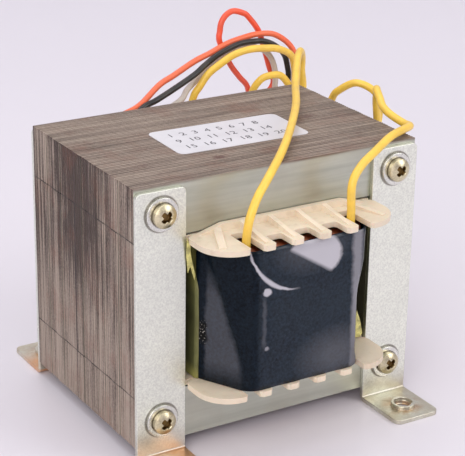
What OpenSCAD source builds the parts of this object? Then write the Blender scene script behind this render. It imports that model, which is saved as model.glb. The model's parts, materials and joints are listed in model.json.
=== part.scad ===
// Laminated chassis transformer: an EI core held by four angle brackets, with a comb bobbin and flying leads.
// Millimetres. X runs left to right, the core is stacked along Y, Z is up. The feet stand on z = 0.

/* [Core] */
// Width of the centre leg, which sets every other size of the lamination
tongue_w = 28; // [24:1:32]
// Thickness of one lamination with its varnish
lam_pitch = 0.51; // [0.45:0.01:0.6]
// Laminations in one packet, all turned the same way
lams_per_packet = 8; // [6:1:10]
// Packets in the stack, turned end for end by turns
packet_count = 14; // [10:2:14]
// How far every second lamination stands back at the edge
edge_step = 0.06; // [0.02:0.01:0.1]
// How far a packet may sit off centre, left or right
packet_wander = 0.08; // [0:0.01:0.1]
// Diameter of the four clamp holes
clamp_hole_d = 4.5; // [4.4:0.1:5]

/* [Bobbin] */
// Wall of the moulded tube round the centre leg
tube_wall = 1.2; // [1:0.1:1.6]
// Thickness of the two flanges
flange_t = 1.5; // [1.2:0.1:1.8]
// How far the combs reach out from the core's faces
comb_reach = 15.6; // [14:0.2:17]
// Radius of the comb's outer corners
comb_corner_r = 8.8; // [7:0.2:10]
// Distance between the comb's fingers
finger_pitch = 8.2; // [8:0.1:8.4]
// Width of one finger
finger_w = 3.6; // [3:0.1:4]
// Height of the rim wall along the core's face
rim_h = 1.9; // [1.2:0.1:2.4]

/* [Winding] */
// How far the finished coil stands out from the core's faces
coil_reach = 14.7; // [13:0.1:15]
// Half the coil's width between the outer legs
coil_half_w = 24.6; // [23:0.1:25]
// Half the width of the coil's flat front
coil_front_w = 17; // [15:0.1:18]

/* [Brackets] */
// Sheet thickness
strap_t = 1.2; // [1:0.1:1.5]
// Gap between the core and the top of the feet
foot_gap = 2.6; // [2:0.1:4]
// Length of a foot from the strap's outer face
foot_l = 16.4; // [15:0.2:20]
// Distance between the front and the rear mounting holes
foot_hole_span = 78; // [77:0.5:82]
// Bore of the mounting holes
foot_hole_d = 5; // [4.2:0.1:5.2]
// Outside diameter of the drawn collar round a mounting hole
collar_d = 6.6; // [6.2:0.1:7.4]
// Height of the collar above the foot
collar_h = 1.1; // [0.5:0.1:1.4]

/* [Clamp screws] */
// Thread diameter
screw_d = 3; // [2.8:0.1:3.2]
// Diameter of the pan head
head_d = 6.2; // [5.8:0.1:7]
// Height of the pan head
head_h = 2.4; // [2:0.1:2.8]
// Outside diameter of the washers
washer_d = 8.8; // [8:0.1:9.6]

/* [Label] */
// Length of the paper label
label_l = 39; // [30:1:44]
// Width of the paper label
label_w = 19.5; // [14:0.5:22]

/* [Leads] */
// Outside diameter of the two yellow leads
secondary_lead_d = 2.2; // [1.8:0.1:2.2]
// Outside diameter of the four thinner leads
primary_lead_d = 1.8; // [1.4:0.1:1.8]
// Length of bare tinned wire at each lead's end
bare_end_l = 6; // [4:1:8]

/* [Hidden] */
$fn = 48;
eps = 0.01;

// Core: the proportions of a scrapless EI lamination follow from the centre leg.
leg_w = tongue_w / 2;
core_w = 3 * tongue_w;
window_h = 1.5 * tongue_w;
core_h = window_h + 2 * leg_w;
packet_t = lam_pitch * lams_per_packet;
stack_d = packet_t * packet_count;
face_y = stack_d / 2;
core_z = strap_t + foot_gap;
core_top = core_z + core_h;
e_leg_end = core_h - leg_w;
hole_x = core_w / 2 - leg_w / 2;
hole_low = core_z + leg_w / 2;
hole_high = core_top - leg_w / 2;

// Bobbin
core_gap = 0.3;
tube_x = tongue_w / 2 + core_gap + tube_wall;
tube_y = face_y + core_gap + tube_wall;
flange_low = core_z + leg_w + 0.4;
flange_high = core_top - leg_w - 0.4;
comb_y = face_y + comb_reach;
comb_x = tongue_w - 0.1;
rim_gap = 0.3;
rim_t = 1.6;
rim_back = face_y + rim_gap;
rim_full_x = 18;
rim_end_x = 25;
rib_t = 1.4;
rib_end = comb_y - 1.6;
tip_cut = 0.7;
slot_floor_y = comb_y - 5.8;
deep_slot_y = comb_y - 10.8;
outer_slot_in = 1.5 * finger_pitch + finger_w / 2;
outer_slot_out = outer_slot_in + 3.7;
ear_rib_x = outer_slot_out + 1.7;
ear_rib_turn = 23;
ear_rib_l = 11.6;
ear_rib_t = 2;
ear_back_r = 2.6;

// Winding: layers are given as a share of the build, from the tube at 0 to the wrap's face at 1.
coil_y = face_y + coil_reach;
side_y = face_y + 0.3;
corner_r_max = 4.5;
corner_r_min = 0.8;
corner_steps = 6;
primary_out = 0.5;
tape_out = 0.54;
secondary_out = 0.94;
wrap_gap = 0.2;
wire_margin = 1;
film_t = 0.35;
film_lift = 0.03;
film_y = side_y + 1.2;
wrap_low = flange_low + flange_t + wrap_gap;
wrap_high = flange_high - flange_t - wrap_gap;
wire_low = wrap_low + wire_margin;
wire_high = wrap_high - 0.8;

// Brackets
strap_w = leg_w;
strap_x = core_w / 2 - strap_w / 2;
strap_top = core_top - 1;
strap_face = face_y + strap_t;
bend_in = 0.6;
bend_out = bend_in + strap_t;
foot_end = strap_face + foot_l;
strap_corner_r = 1.5;
foot_corner_r = 2;

// Clamp screws
front_washer_t = 0.9;
rear_washer_t = 0.8;
spring_washer_t = 0.8;
nut_flats = 5.5;
nut_t = 2.4;
thread_out = 2;
washer_hole_d = 3.2;
rear_washer_d = 7.6;
spring_washer_d = 5.6;
head_seat = strap_face + front_washer_t;
spring_seat = strap_face + rear_washer_t;
nut_seat = spring_seat + spring_washer_t;
screw_end = nut_seat + nut_t + thread_out;
head_dome_r = 0.78 * head_d;
recess_w = 1.3;
recess_span = 3.4;
recess_taper = 1.2;
recess_deep = 1.5;

// Label
label_t = 0.12;
label_r = 2;
label_pos = [0.5, -2.2];
label_turn = -1.5;

// Leads: round positions along each centreline, from the winding to the bare end.
sides = 8;
steps = 2;
conductor_share = 0.55;
yellow_left_route = [
    [-16, -38.5, wire_high], [-16, -38.5, 60], [-15.5, -39, 65], [-12.5, -37.5, 69.5],
    [-7.5, -34.5, 73], [2, -26, 76], [13, -13, 77], [25, 3, 77], [34, 17, 77],
    [39.5, 25, 79], [43.5, 30.5, 81], [47, 34.5, 81.5], [50, 38, 78.5], [51, 39.5, 74],
    [52, 40, 69], [52.5, 40.5, 61], [53, 42, 54], [54.5, 45.5, 50], [56.5, 50, 50.5],
    [57.5, 52.5, 55], [57, 52, 61], [56, 50.5, 67], [55.5, 50, 71], [53, 48.5, 76],
    [47.5, 47, 79], [42.5, 46.5, 80], [36.5, 46, 80.5], [31, 46, 79.5], [26.5, 46.5, 77],
    [23, 47, 74.5], [20.5, 47.5, 71], [18.5, 48, 67.5], [17, 49, 58], [17, 50, 45],
    [18, 51, 30], [20, 53, 15], [23, 57.5, 5], [25, 63, 1.9], [26, 68, 1.3], [26.5, 73, 1.3]];
yellow_right_route = [
    [15.5, -38, wire_high], [15.5, -38, 61], [15.5, -38, 68.5], [19.5, -36, 72],
    [26, -33, 74], [33.5, -29, 75.5], [40.5, -25.5, 75.5], [45.5, -21.5, 74.5],
    [46.5, -17.5, 74], [45, -13.5, 75.5], [44.5, -10.5, 77], [45.5, -7.5, 78.5],
    [46.5, -4.5, 80], [50, 0, 78], [51.5, 2, 73.5], [53.5, 3, 61], [54, 5, 54.5],
    [56, 8.5, 50.5], [58.5, 12.5, 52], [60, 13.5, 58], [60.5, 12.5, 67], [58.5, 12, 73],
    [54.5, 16, 75.5], [51.5, 20.5, 72.5], [51, 23, 69.5], [50, 26, 61], [49, 31, 55],
    [49.5, 37, 54.5], [50, 41.5, 60], [50, 42.5, 66], [46.5, 43, 71.5],
    [42.5, 43, 72.5], [39, 44, 71], [37, 46, 65], [35.5, 49, 47],
    [34.5, 53, 20], [33, 58.5, 5.5], [33, 63, 2], [33.5, 68, 1.3], [33.5, 73, 1.3]];
orange_route = [
    [-16, 38, wire_high], [-16, 38, 61], [-13.5, 40, 65], [-8, 43.5, 67], [-0.5, 46, 68.5],
    [7, 48, 73], [12.5, 49, 75], [20, 50, 78], [26, 51, 79.5], [32, 51.5, 81.5],
    [38, 52, 82.5], [43, 52, 83], [48, 52, 82.5], [52, 52, 80.5], [55.5, 52.5, 77.5],
    [57.5, 53, 74], [58.5, 53.5, 69.5], [58.5, 54, 65], [59.5, 54.5, 52], [60, 54.5, 38],
    [60, 56, 22], [59.5, 59, 8.5], [59, 64, 2], [58.5, 69, 1.1], [58, 74, 1.1]];
black_route = [
    [-8, 41, wire_high], [-8, 41, 61], [-6, 41.5, 65.5], [-1, 42.5, 69], [4, 44, 70],
    [10.5, 45.5, 72], [18.5, 47, 75], [23, 48.5, 77], [28, 49, 79.5], [35, 49.5, 81.5],
    [41, 50, 81.5], [44.5, 50, 81], [48.5, 50, 79], [52.5, 51.5, 75.5], [54.5, 52.5, 71],
    [55.5, 53.5, 67], [55, 54.5, 57], [54.5, 56, 42], [54, 56.5, 26], [53.5, 59, 11],
    [52.5, 64, 2.5], [52, 69, 1.1], [51.5, 74, 1.1]];
white_route = [
    [0, 41, wire_high], [0, 41, 61], [3, 42, 64.5], [8, 44.5, 66.5], [14, 47, 68],
    [17, 49, 70], [21, 50.5, 72], [25, 51, 74.5], [30, 51.5, 77], [36, 52, 79],
    [42, 52.5, 79], [47, 52.5, 76.5], [50, 53, 71.5], [51, 54, 65], [50.5, 56, 54],
    [49.5, 57.5, 40], [48, 59, 25], [47, 61, 11], [46.5, 66, 2.5], [46, 71, 1.1],
    [45.5, 76, 1.1]];
red_route = [
    [16, 38, wire_high], [16, 38, 61], [18.5, 41, 64.5], [25, 47, 64.5], [34, 53, 61.5],
    [42.5, 56, 59.5], [48.5, 56.5, 61.5], [52, 56.5, 65.5], [50, 56, 71], [48, 55, 75.5],
    [45, 54.5, 83], [41, 54, 88], [39, 54, 89.5], [35.5, 54, 90.5], [33, 54, 89.5],
    [31.5, 54, 87.5], [31, 54, 85], [31, 54, 81.5], [36, 56, 73.5], [40.5, 58, 68.5],
    [45, 60, 63.5], [46.5, 62, 54], [46, 63, 41], [44, 63.5, 25], [41.5, 65, 11],
    [40, 69, 2.5], [39.5, 73, 1.1], [39.5, 77, 1.1]];

function packet_name(kind, i) = str(kind, "_packet_", i < 9 ? "0" : "", i + 1);

// ---------- core ----------

// One E plate's outline, standing on its yoke, with its outer edges stood back by inset.
module e_outline(inset) {
    difference() {
        translate([-core_w / 2 + inset, inset]) square([core_w - 2 * inset, e_leg_end - inset]);
        for (side = [-1, 1])
            translate([side * (tongue_w + leg_w) / 2 - leg_w / 2, leg_w])
                square([leg_w, window_h + 1]);
    }
}

// One I plate's outline, closing the E plate's legs.
module i_outline(inset) {
    translate([-core_w / 2 + inset, e_leg_end])
        square([core_w - 2 * inset, leg_w - inset]);
}

// Laminations pressed into one packet: every second one stands back at its outer edges.
module lamination_packet(is_e) {
    rotate([90, 0, 0])
        for (k = [0 : lams_per_packet - 1])
            translate([0, 0, -(k + 1) * lam_pitch])
                linear_extrude(lam_pitch)
                    if (is_e) e_outline(edge_step * (k % 2));
                    else i_outline(edge_step * (k % 2));
}

// Packet i in its place: odd ones are turned end for end, so that the joints are staggered.
module packet(i, is_e) {
    shift = packet_wander * sin(137 * i);
    hole_z = is_e ? leg_w / 2 : core_h - leg_w / 2;
    flipped = i % 2 == 1;
    translate([shift, -face_y + i * packet_t, core_z + (flipped ? core_h : 0)])
        mirror([0, 0, flipped ? 1 : 0])
            difference() {
                lamination_packet(is_e);
                for (side = [-1, 1])
                    translate([side * hole_x, -1, hole_z])
                        rotate([-90, 0, 0])
                            cylinder(d = clamp_hole_d, h = packet_t + 2);
            }
}

module e_packet(i) { color("dimgray") packet(i, true); }
module i_packet(i) { color("gray") packet(i, false); }

// ---------- bobbin ----------

// Square slot with eased inner corners, open towards +Y.
module comb_slot(x0, x1, floor_y) {
    r = 0.8;
    translate([x0, floor_y + r]) square([x1 - x0, comb_y - floor_y]);
    translate([x0 + r, floor_y]) square([x1 - x0 - 2 * r, r]);
    for (x = [x0 + r, x1 - r]) translate([x, floor_y + r]) circle(r);
}

// Small bevel across a comb tip's corner at x, on the side that dir points to.
module tip_bevel(x, dir) {
    polygon([[x, comb_y + eps], [x, comb_y - tip_cut], [x - dir * tip_cut, comb_y + eps]]);
}

// Outline of the comb that stands out of the core's +Y face.
module comb_outline() {
    difference() {
        union() {
            hull()
                for (side = [-1, 1]) {
                    translate([side * (comb_x - comb_corner_r), comb_y - comb_corner_r])
                        circle(comb_corner_r);
                    translate([side * (comb_x - ear_back_r), rim_back + ear_back_r])
                        circle(ear_back_r);
                }
            translate([-rim_full_x, face_y - 1]) square([2 * rim_full_x, 2]);
        }
        for (k = [-1 : 1])
            comb_slot(k * finger_pitch - (finger_pitch - finger_w) / 2,
                      k * finger_pitch + (finger_pitch - finger_w) / 2, slot_floor_y);
        comb_slot(outer_slot_in, outer_slot_out, deep_slot_y);
        comb_slot(-outer_slot_out, -outer_slot_in, deep_slot_y);
        for (k = [-1.5 : 1.5], dir = [-1, 1])
            tip_bevel(k * finger_pitch + dir * finger_w / 2, dir);
        for (dir = [-1, 1]) tip_bevel(dir * outer_slot_out, -dir);
    }
}

// One flange: the plate inside the windows and a comb at each face. Its outer side faces up.
module flange() {
    linear_extrude(flange_t) {
        square([2 * (tongue_w - core_gap), 2 * face_y], center = true);
        comb_outline();
        mirror([0, 1]) comb_outline();
    }
    for (turn = [0, 180]) rotate(turn) comb_stiffeners();
}

// Rim wall along the core and the sloping ribs that brace each finger and ear.
module comb_stiffeners() {
    translate([0, rim_back + rim_t, flange_t])
        rotate([90, 0, 0])
            linear_extrude(rim_t)
                polygon([[-rim_end_x, -eps], [-rim_full_x, rim_h], [rim_full_x, rim_h],
                         [rim_end_x, -eps]]);
    for (k = [-1.5 : 1.5])
        translate([k * finger_pitch, rim_back + rim_t, flange_t])
            comb_rib(rib_end - rim_back - rim_t, rim_h, rib_t);
    for (side = [-1, 1])
        translate([side * ear_rib_x, rim_back + rim_t - 0.4, flange_t])
            rotate(-side * ear_rib_turn)
                comb_rib(ear_rib_l, rim_h - 0.5, ear_rib_t);
}

// Sloping rib that runs out along +Y from the rim.
module comb_rib(length, height, thick) {
    translate([-thick / 2, 0, 0])
        rotate([90, 0, 90])
            linear_extrude(thick)
                polygon([[-eps, -eps], [-eps, height - 0.1], [length, 0.25], [length, -eps]]);
}

module bobbin() {
    color("antiquewhite")
    difference() {
        union() {
            translate([0, 0, flange_low])
                linear_extrude(flange_high - flange_low) polygon(coil_outline(0));
            translate([0, 0, flange_high - flange_t]) flange();
            translate([0, 0, flange_low + flange_t]) mirror([0, 0, 1]) flange();
        }
        translate([0, 0, (flange_low + flange_high) / 2])
            cube([tongue_w + 2 * core_gap, stack_d + 2 * core_gap, core_h], center = true);
    }
}

// ---------- winding ----------

// The coil's outline at a share t of its build. Wire bows out where it passes the core's faces,
// so the sides slant in towards a flat front with round corners.
function coil_corner(t) =
    let(a = tube_x + (coil_half_w - tube_x) * t,
        c = tube_x + (coil_front_w - tube_x) * t,
        b = tube_y + (coil_y - tube_y) * t,
        r = corner_r_min + (corner_r_max - corner_r_min) * t,
        slant = atan2(a - c, b - side_y),
        n = [cos(slant), sin(slant)],
        cx = (n * [c, b] - r - n[1] * (b - r)) / n[0])
    concat([[a, side_y]],
           [for (k = [0 : corner_steps])
               let(ang = slant + (90 - slant) * k / corner_steps)
               [cx + r * cos(ang), b - r + r * sin(ang)]]);

function backwards(list) = [for (i = [len(list) - 1 : -1 : 0]) list[i]];

function coil_outline(t) =
    let(q = coil_corner(t))
    concat(q,
           [for (p = backwards(q)) [-p[0], p[1]]],
           [for (p = q) [-p[0], -p[1]]],
           [for (p = backwards(q)) [p[0], -p[1]]]);

// A closed band of the coil between two shares of its build.
module coil_band(from, to, low, high) {
    translate([0, 0, low])
        linear_extrude(high - low)
            difference() {
                polygon(coil_outline(to));
                polygon(coil_outline(from));
            }
}

module primary_winding() { color("sienna") coil_band(0, primary_out, wire_low, wire_high); }
module interlayer_tape() { color("khaki") coil_band(primary_out, tape_out, wire_low, wire_high); }
module secondary_winding() { color("peru") coil_band(tape_out, secondary_out, wire_low, wire_high); }
module outer_wrap() { color("midnightblue") coil_band(secondary_out, 1, wrap_low, wrap_high); }

// Film laid on the coil's side where it passes through the window.
module side_film(side) {
    slant = (coil_half_w - coil_front_w) / (coil_y - side_y);
    face_x = coil_half_w + film_lift;
    q = [[face_x - slant * (film_y - side_y), film_y], [face_x, side_y]];
    inner = concat(q, [for (p = backwards(q)) [p[0], -p[1]]]);
    outer = [for (p = backwards(inner)) p + [film_t, 0]];
    color("gold")
        translate([0, 0, wrap_low])
            mirror([side < 0 ? 1 : 0, 0, 0])
                linear_extrude(wrap_high - wrap_low)
                    polygon(concat(inner, outer));
}

// ---------- brackets ----------

// A corner's waste: what a radius r leaves of a square, for cutting round corners.
module corner_waste(r, h) {
    difference() {
        cube([r + 1, r + 1, h]);
        translate([0, 0, -1]) cylinder(r = r, h = h + 2);
    }
}

// Side outline of the folded sheet: strap up, foot out along +X, both one thickness.
module bracket_profile() {
    translate([face_y, bend_out]) square([strap_t, strap_top - bend_out]);
    translate([face_y + bend_out, 0]) square([foot_end - face_y - bend_out, strap_t]);
    intersection() {
        difference() {
            translate([face_y + bend_out, bend_out]) circle(bend_out);
            translate([face_y + bend_out, bend_out]) circle(bend_in);
        }
        translate([face_y, 0]) square([bend_out, bend_out]);
    }
}

// Bracket at the +X, +Y corner. The others are its mirror images.
module bracket() {
    low = strap_x - strap_w / 2;
    high = strap_x + strap_w / 2;
    hole_y = foot_hole_span / 2;
    difference() {
        union() {
            translate([low, 0, 0])
                rotate([90, 0, 90]) linear_extrude(strap_w) bracket_profile();
            translate([strap_x, hole_y, 0]) cylinder(d = collar_d, h = strap_t + collar_h);
        }
        translate([strap_x, hole_y, -1]) cylinder(d = foot_hole_d, h = strap_t + collar_h + 2);
        for (z = [hole_low, hole_high])
            translate([strap_x, face_y - 1, z])
                rotate([-90, 0, 0]) cylinder(d = clamp_hole_d, h = strap_t + 2);
        for (side = [-1, 1])
            translate([strap_x, 0, 0]) mirror([side < 0 ? 1 : 0, 0, 0]) {
                translate([strap_w / 2 - foot_corner_r, foot_end - foot_corner_r, -1])
                    corner_waste(foot_corner_r, strap_t + 2);
                translate([strap_w / 2 - strap_corner_r, face_y + strap_t + 1,
                           strap_top - strap_corner_r])
                    rotate([90, 0, 0]) corner_waste(strap_corner_r, strap_t + 2);
            }
    }
}

module bracket_at(side, end) {
    color("silver")
        mirror([side < 0 ? 1 : 0, 0, 0]) mirror([0, end < 0 ? 1 : 0, 0]) bracket();
}

// ---------- clamp screws ----------

// Puts its child at the four clamp holes, pointing along +Y.
module at_clamp_holes() {
    for (x = [-hole_x, hole_x], z = [hole_low, hole_high])
        translate([x, 0, z]) rotate([-90, 0, 0]) children();
}

// Pan head screw along +Z, with its head below z = 0 and a cross recess.
module pan_screw(length) {
    difference() {
        union() {
            rotate_extrude()
                intersection() {
                    translate([0, -head_h]) square([head_d / 2, head_h]);
                    translate([0, head_dome_r - head_h]) circle(head_dome_r);
                }
            translate([0, 0, -eps]) cylinder(d = screw_d, h = length + eps);
        }
        intersection() {
            translate([0, 0, -head_h - 1])
                cylinder(d1 = recess_span + recess_taper, d2 = recess_span - recess_taper,
                         h = recess_deep + 1);
            for (turn = [45, 135])
                rotate(turn)
                    translate([-head_d, -recess_w / 2, -head_h - 1])
                        cube([2 * head_d, recess_w, recess_deep + 1]);
        }
    }
}

module clamp_screws() {
    color("lightgoldenrodyellow")
        at_clamp_holes()
            translate([0, 0, -head_seat]) pan_screw(head_seat + screw_end);
}

module plain_washer(outer_d, inner_d, thickness) {
    difference() {
        cylinder(d = outer_d, h = thickness);
        translate([0, 0, -1]) cylinder(d = inner_d, h = thickness + 2);
    }
}

module front_washers() {
    color("gainsboro")
        at_clamp_holes()
            translate([0, 0, -head_seat]) plain_washer(washer_d, washer_hole_d, front_washer_t);
}

module rear_washers() {
    color("gainsboro")
        at_clamp_holes()
            translate([0, 0, strap_face]) plain_washer(rear_washer_d, washer_hole_d, rear_washer_t);
}

// Split ring under each nut.
module spring_washers() {
    gap_w = 0.6;
    color("darkgray")
        at_clamp_holes()
            translate([0, 0, spring_seat])
                difference() {
                    plain_washer(spring_washer_d, washer_hole_d, spring_washer_t);
                    rotate(30)
                        translate([0, -gap_w / 2, -1]) cube([spring_washer_d, gap_w, spring_washer_t + 2]);
                }
}

// Hexagon nut with both faces bevelled at the corners.
module hex_nut() {
    corner_d = nut_flats / cos(30);
    bevelled_d = corner_d - 1.2;
    bevel = 0.35;
    difference() {
        intersection() {
            cylinder(d = corner_d, h = nut_t, $fn = 6);
            union() {
                cylinder(d1 = bevelled_d, d2 = corner_d, h = bevel);
                translate([0, 0, bevel]) cylinder(d = corner_d, h = nut_t - 2 * bevel);
                translate([0, 0, nut_t - bevel])
                    cylinder(d1 = corner_d, d2 = bevelled_d, h = bevel);
            }
        }
        translate([0, 0, -1]) cylinder(d = screw_d, h = nut_t + 2);
    }
}

module nuts() {
    color("silver") at_clamp_holes() translate([0, 0, nut_seat]) hex_nut();
}

// ---------- label ----------

module label() {
    color("white")
        translate([label_pos[0], label_pos[1], core_top])
            rotate(label_turn)
                linear_extrude(label_t) {
                    square([label_l - 2 * label_r, label_w], center = true);
                    square([label_l, label_w - 2 * label_r], center = true);
                    for (sx = [-1, 1], sy = [-1, 1])
                        translate([sx * (label_l / 2 - label_r), sy * (label_w / 2 - label_r)])
                            circle(label_r);
                }
}

// ---------- leads ----------

function unit(v) = v / norm(v);

// Point at share t between b and c of a smooth curve through a, b, c and d.
function smooth_point(a, b, c, d, t) =
    0.5 * (2 * b + (c - a) * t + (2 * a - 5 * b + 4 * c - d) * t * t
           + (3 * b - a - 3 * c + d) * t * t * t);

function smooth_path(route, n) =
    let(last = len(route) - 1)
    concat([for (i = [0 : last - 1], k = [0 : n - 1])
               smooth_point(route[max(i - 1, 0)], route[i], route[i + 1],
                            route[min(i + 2, last)], k / n)],
           [route[last]]);

// Direction at every point of the path. Each lead leaves the coil straight up.
function headings(path) =
    let(last = len(path) - 1)
    [for (i = [0 : last]) i == 0 ? [0, 0, 1] : unit(path[min(i + 1, last)] - path[i - 1])];

// Side directions carried along the path without twist.
function side_dirs(heads, i = 0, found = []) =
    i == len(heads) ? found :
    let(before = i == 0 ? [1, 0, 0] : found[i - 1],
        side = unit(before - (before * heads[i]) * heads[i]))
    side_dirs(heads, i + 1, concat(found, [side]));

// A round tube of diameter d swept along the smoothed route, with flat ends.
module swept_lead(route, d) {
    path = smooth_path(route, steps);
    heads = headings(path);
    dirs = side_dirs(heads);
    rings = len(path);
    points = [for (i = [0 : rings - 1])
                 let(up = cross(heads[i], dirs[i]))
                 for (k = [0 : sides - 1])
                     let(ang = 360 * (k + 0.5) / sides)
                     path[i] + (dirs[i] * cos(ang) + up * sin(ang)) * d / 2];
    walls = [for (i = [0 : rings - 2], k = [0 : sides - 1])
                let(a = i * sides + k, b = i * sides + (k + 1) % sides)
                [a, a + sides, b + sides, b]];
    start = [for (k = [0 : sides - 1]) k];
    finish = [for (k = [sides - 1 : -1 : 0]) (rings - 1) * sides + k];
    polyhedron(points, concat([start, finish], walls));
}

// Bare conductor that carries on from the end of a route.
module bare_end(route, d) {
    h = headings(smooth_path(route, steps))[steps * (len(route) - 1)];
    translate(route[len(route) - 1])
        rotate([0, acos(h[2]), atan2(h[1], h[0])])
            cylinder(d = d * conductor_share, h = bare_end_l, $fn = 24);
}

module lead_yellow_left() { color("gold") swept_lead(yellow_left_route, secondary_lead_d); }
module lead_yellow_right() { color("gold") swept_lead(yellow_right_route, secondary_lead_d); }
module lead_orange() { color("coral") swept_lead(orange_route, primary_lead_d); }
module lead_black() { color("black") swept_lead(black_route, primary_lead_d); }
module lead_white() { color("whitesmoke") swept_lead(white_route, primary_lead_d); }
module lead_red() { color("red") swept_lead(red_route, primary_lead_d); }

module tinned_ends() {
    color("silver") {
        for (route = [yellow_left_route, yellow_right_route]) bare_end(route, secondary_lead_d);
        for (route = [orange_route, black_route, white_route, red_route])
            bare_end(route, primary_lead_d);
    }
}

// ---------- assembly ----------

for (i = [0 : packet_count - 1]) {
    e_packet(i);
    i_packet(i);
}
bobbin();
primary_winding();
interlayer_tape();
secondary_winding();
outer_wrap();
side_film(-1);  // side_film_left
side_film(1);  // side_film_right
bracket_at(-1, -1);  // bracket_front_left
bracket_at(1, -1);  // bracket_front_right
bracket_at(-1, 1);  // bracket_rear_left
bracket_at(1, 1);  // bracket_rear_right
clamp_screws();
front_washers();
rear_washers();
spring_washers();
nuts();
label();
lead_yellow_left();
lead_yellow_right();
lead_orange();
lead_black();
lead_white();
lead_red();
tinned_ends();
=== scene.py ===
"""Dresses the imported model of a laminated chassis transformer: cords, shapes, finishes and stage."""

import json
import math

import bmesh
import bpy
from bpy.props import FloatProperty, FloatVectorProperty, IntProperty, PointerProperty
from mathutils import Matrix, Vector, noise


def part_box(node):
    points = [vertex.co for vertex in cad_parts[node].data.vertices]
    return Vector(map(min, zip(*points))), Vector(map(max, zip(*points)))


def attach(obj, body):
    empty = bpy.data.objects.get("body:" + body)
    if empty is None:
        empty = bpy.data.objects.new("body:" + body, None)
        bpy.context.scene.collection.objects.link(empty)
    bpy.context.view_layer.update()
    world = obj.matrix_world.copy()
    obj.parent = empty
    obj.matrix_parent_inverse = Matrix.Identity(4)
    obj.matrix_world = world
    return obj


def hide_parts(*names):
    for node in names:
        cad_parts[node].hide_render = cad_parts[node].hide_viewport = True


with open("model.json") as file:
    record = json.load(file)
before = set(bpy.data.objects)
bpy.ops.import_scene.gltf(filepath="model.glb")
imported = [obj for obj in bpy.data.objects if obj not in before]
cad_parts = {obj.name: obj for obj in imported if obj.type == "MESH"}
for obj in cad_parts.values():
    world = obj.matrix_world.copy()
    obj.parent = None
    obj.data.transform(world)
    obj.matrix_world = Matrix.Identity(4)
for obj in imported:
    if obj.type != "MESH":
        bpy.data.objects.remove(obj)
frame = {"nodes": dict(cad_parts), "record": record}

bl_info = {
    "name": "Laminated chassis transformer",
    "version": (1, 0, 0),
    "blender": (4, 5, 0),
    "location": "View3D > Sidebar > Transformer",
    "description": "Dresses the packed model of a laminated chassis transformer",
    "category": "Object",
}

MM = 0.001
MERGE = 0.002 * MM
LOW, HIGH = 0, 1
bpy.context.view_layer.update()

# Places and sizes that come from the frame.
CORE_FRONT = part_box("e_packet_01")[LOW].y
CORE_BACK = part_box("e_packet_14")[HIGH].y
CORE_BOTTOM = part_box("e_packet_01")[LOW].z
CORE_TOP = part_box("i_packet_01")[HIGH].z
YOKE_H = CORE_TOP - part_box("i_packet_01")[LOW].z
COIL_LOW, COIL_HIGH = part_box("outer_wrap")
COIL_TALL = COIL_HIGH.z - COIL_LOW.z
PRIMARY_LOW, PRIMARY_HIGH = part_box("primary_winding")
TUBE_X = 2 * PRIMARY_HIGH.x - COIL_HIGH.x
TUBE_Y = 2 * PRIMARY_HIGH.y - COIL_HIGH.y
FILM_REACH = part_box("side_film_left")[HIGH].y
HEAD_FRONT, SCREW_END = (corner.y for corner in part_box("clamp_screws"))
NUT_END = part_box("nuts")[HIGH].y
LABEL_LOW, LABEL_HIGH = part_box("label")
FOOT_HOLES = next(m for m in frame["record"]["mounts"] if m["name"] == "foot_holes")["dims"]
HOLE_X, HOLE_Y = FOOT_HOLES["spacing_x_mm"] / 2 * MM, FOOT_HOLES["spacing_y_mm"] / 2 * MM
HOLE_R = FOOT_HOLES["hole_r_mm"] * MM
SCREW_HEIGHTS = (CORE_BOTTOM + YOKE_H / 2, CORE_TOP - YOKE_H / 2)

# How far front and rear the coil's flat sides reach, before they turn in.
TURN_Y = CORE_BACK + 0.3 * MM


# ---------- settings ----------

def length_setting(name, description, default):
    """A size whose default is given in millimetres."""
    return FloatProperty(name=name, description=description, default=default * MM, unit="LENGTH")


def angle_setting(name, description, default):
    """An angle whose default is given in degrees."""
    return FloatProperty(name=name, description=description, default=math.radians(default),
                         subtype="ANGLE")


def colour_setting(name, description, default):
    return FloatVectorProperty(name=name, description=description, default=default, subtype="COLOR")


class LeadSettings(bpy.types.PropertyGroup):
    """Sizes and colours of the flying leads."""

    thick_d: length_setting("Thick lead", "Diameter of the two yellow leads", 2.2)
    thin_d: length_setting("Thin lead", "Diameter of the four other leads", 1.8)
    bare_l: length_setting("Bare end", "Length of bare tinned wire at each end", 6)
    strand_d: length_setting("Strand", "Diameter of one strand in a bare end", 0.38)
    yellow: colour_setting("Yellow", "Yellow insulation", (0.96, 0.63, 0.083))
    orange: colour_setting("Orange", "Orange insulation", (0.95, 0.17, 0.065))
    black: colour_setting("Black", "Black insulation", (0.007, 0.006, 0.006))
    white: colour_setting("White", "White insulation", (0.66, 0.60, 0.53))
    red: colour_setting("Red", "Red insulation", (0.93, 0.112, 0.048))


class CoreSettings(bpy.types.PropertyGroup):
    """Look of the stacked core."""

    pitch: length_setting("Lamination", "Thickness of one lamination", 0.51)
    per_packet: IntProperty(
        name="Per packet", description="Laminations that lie the same way", default=8)
    open_seam: IntProperty(
        name="Open seam", description="Packets in front of the widest seam", default=8)
    leg_x: length_setting("Outer legs", "Half the distance between the outer legs, and a little", 28.4)
    joint_w: length_setting("Joint", "Width of the dark joint between plates", 0.26)
    dark_edge: colour_setting("Dark edge", "Darkest lamination edge", (0.058, 0.033, 0.024))
    pale_edge: colour_setting("Pale edge", "Palest lamination edge", (0.44, 0.353, 0.287))
    rust: colour_setting("Rust", "Rust on lamination edges", (0.24, 0.085, 0.050))
    blot: colour_setting("Rust spot", "Rust spots on the core's top", (0.115, 0.040, 0.032))
    face: colour_setting("Plate face", "Bare face of the outer plates", (0.53, 0.55, 0.475))


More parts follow.
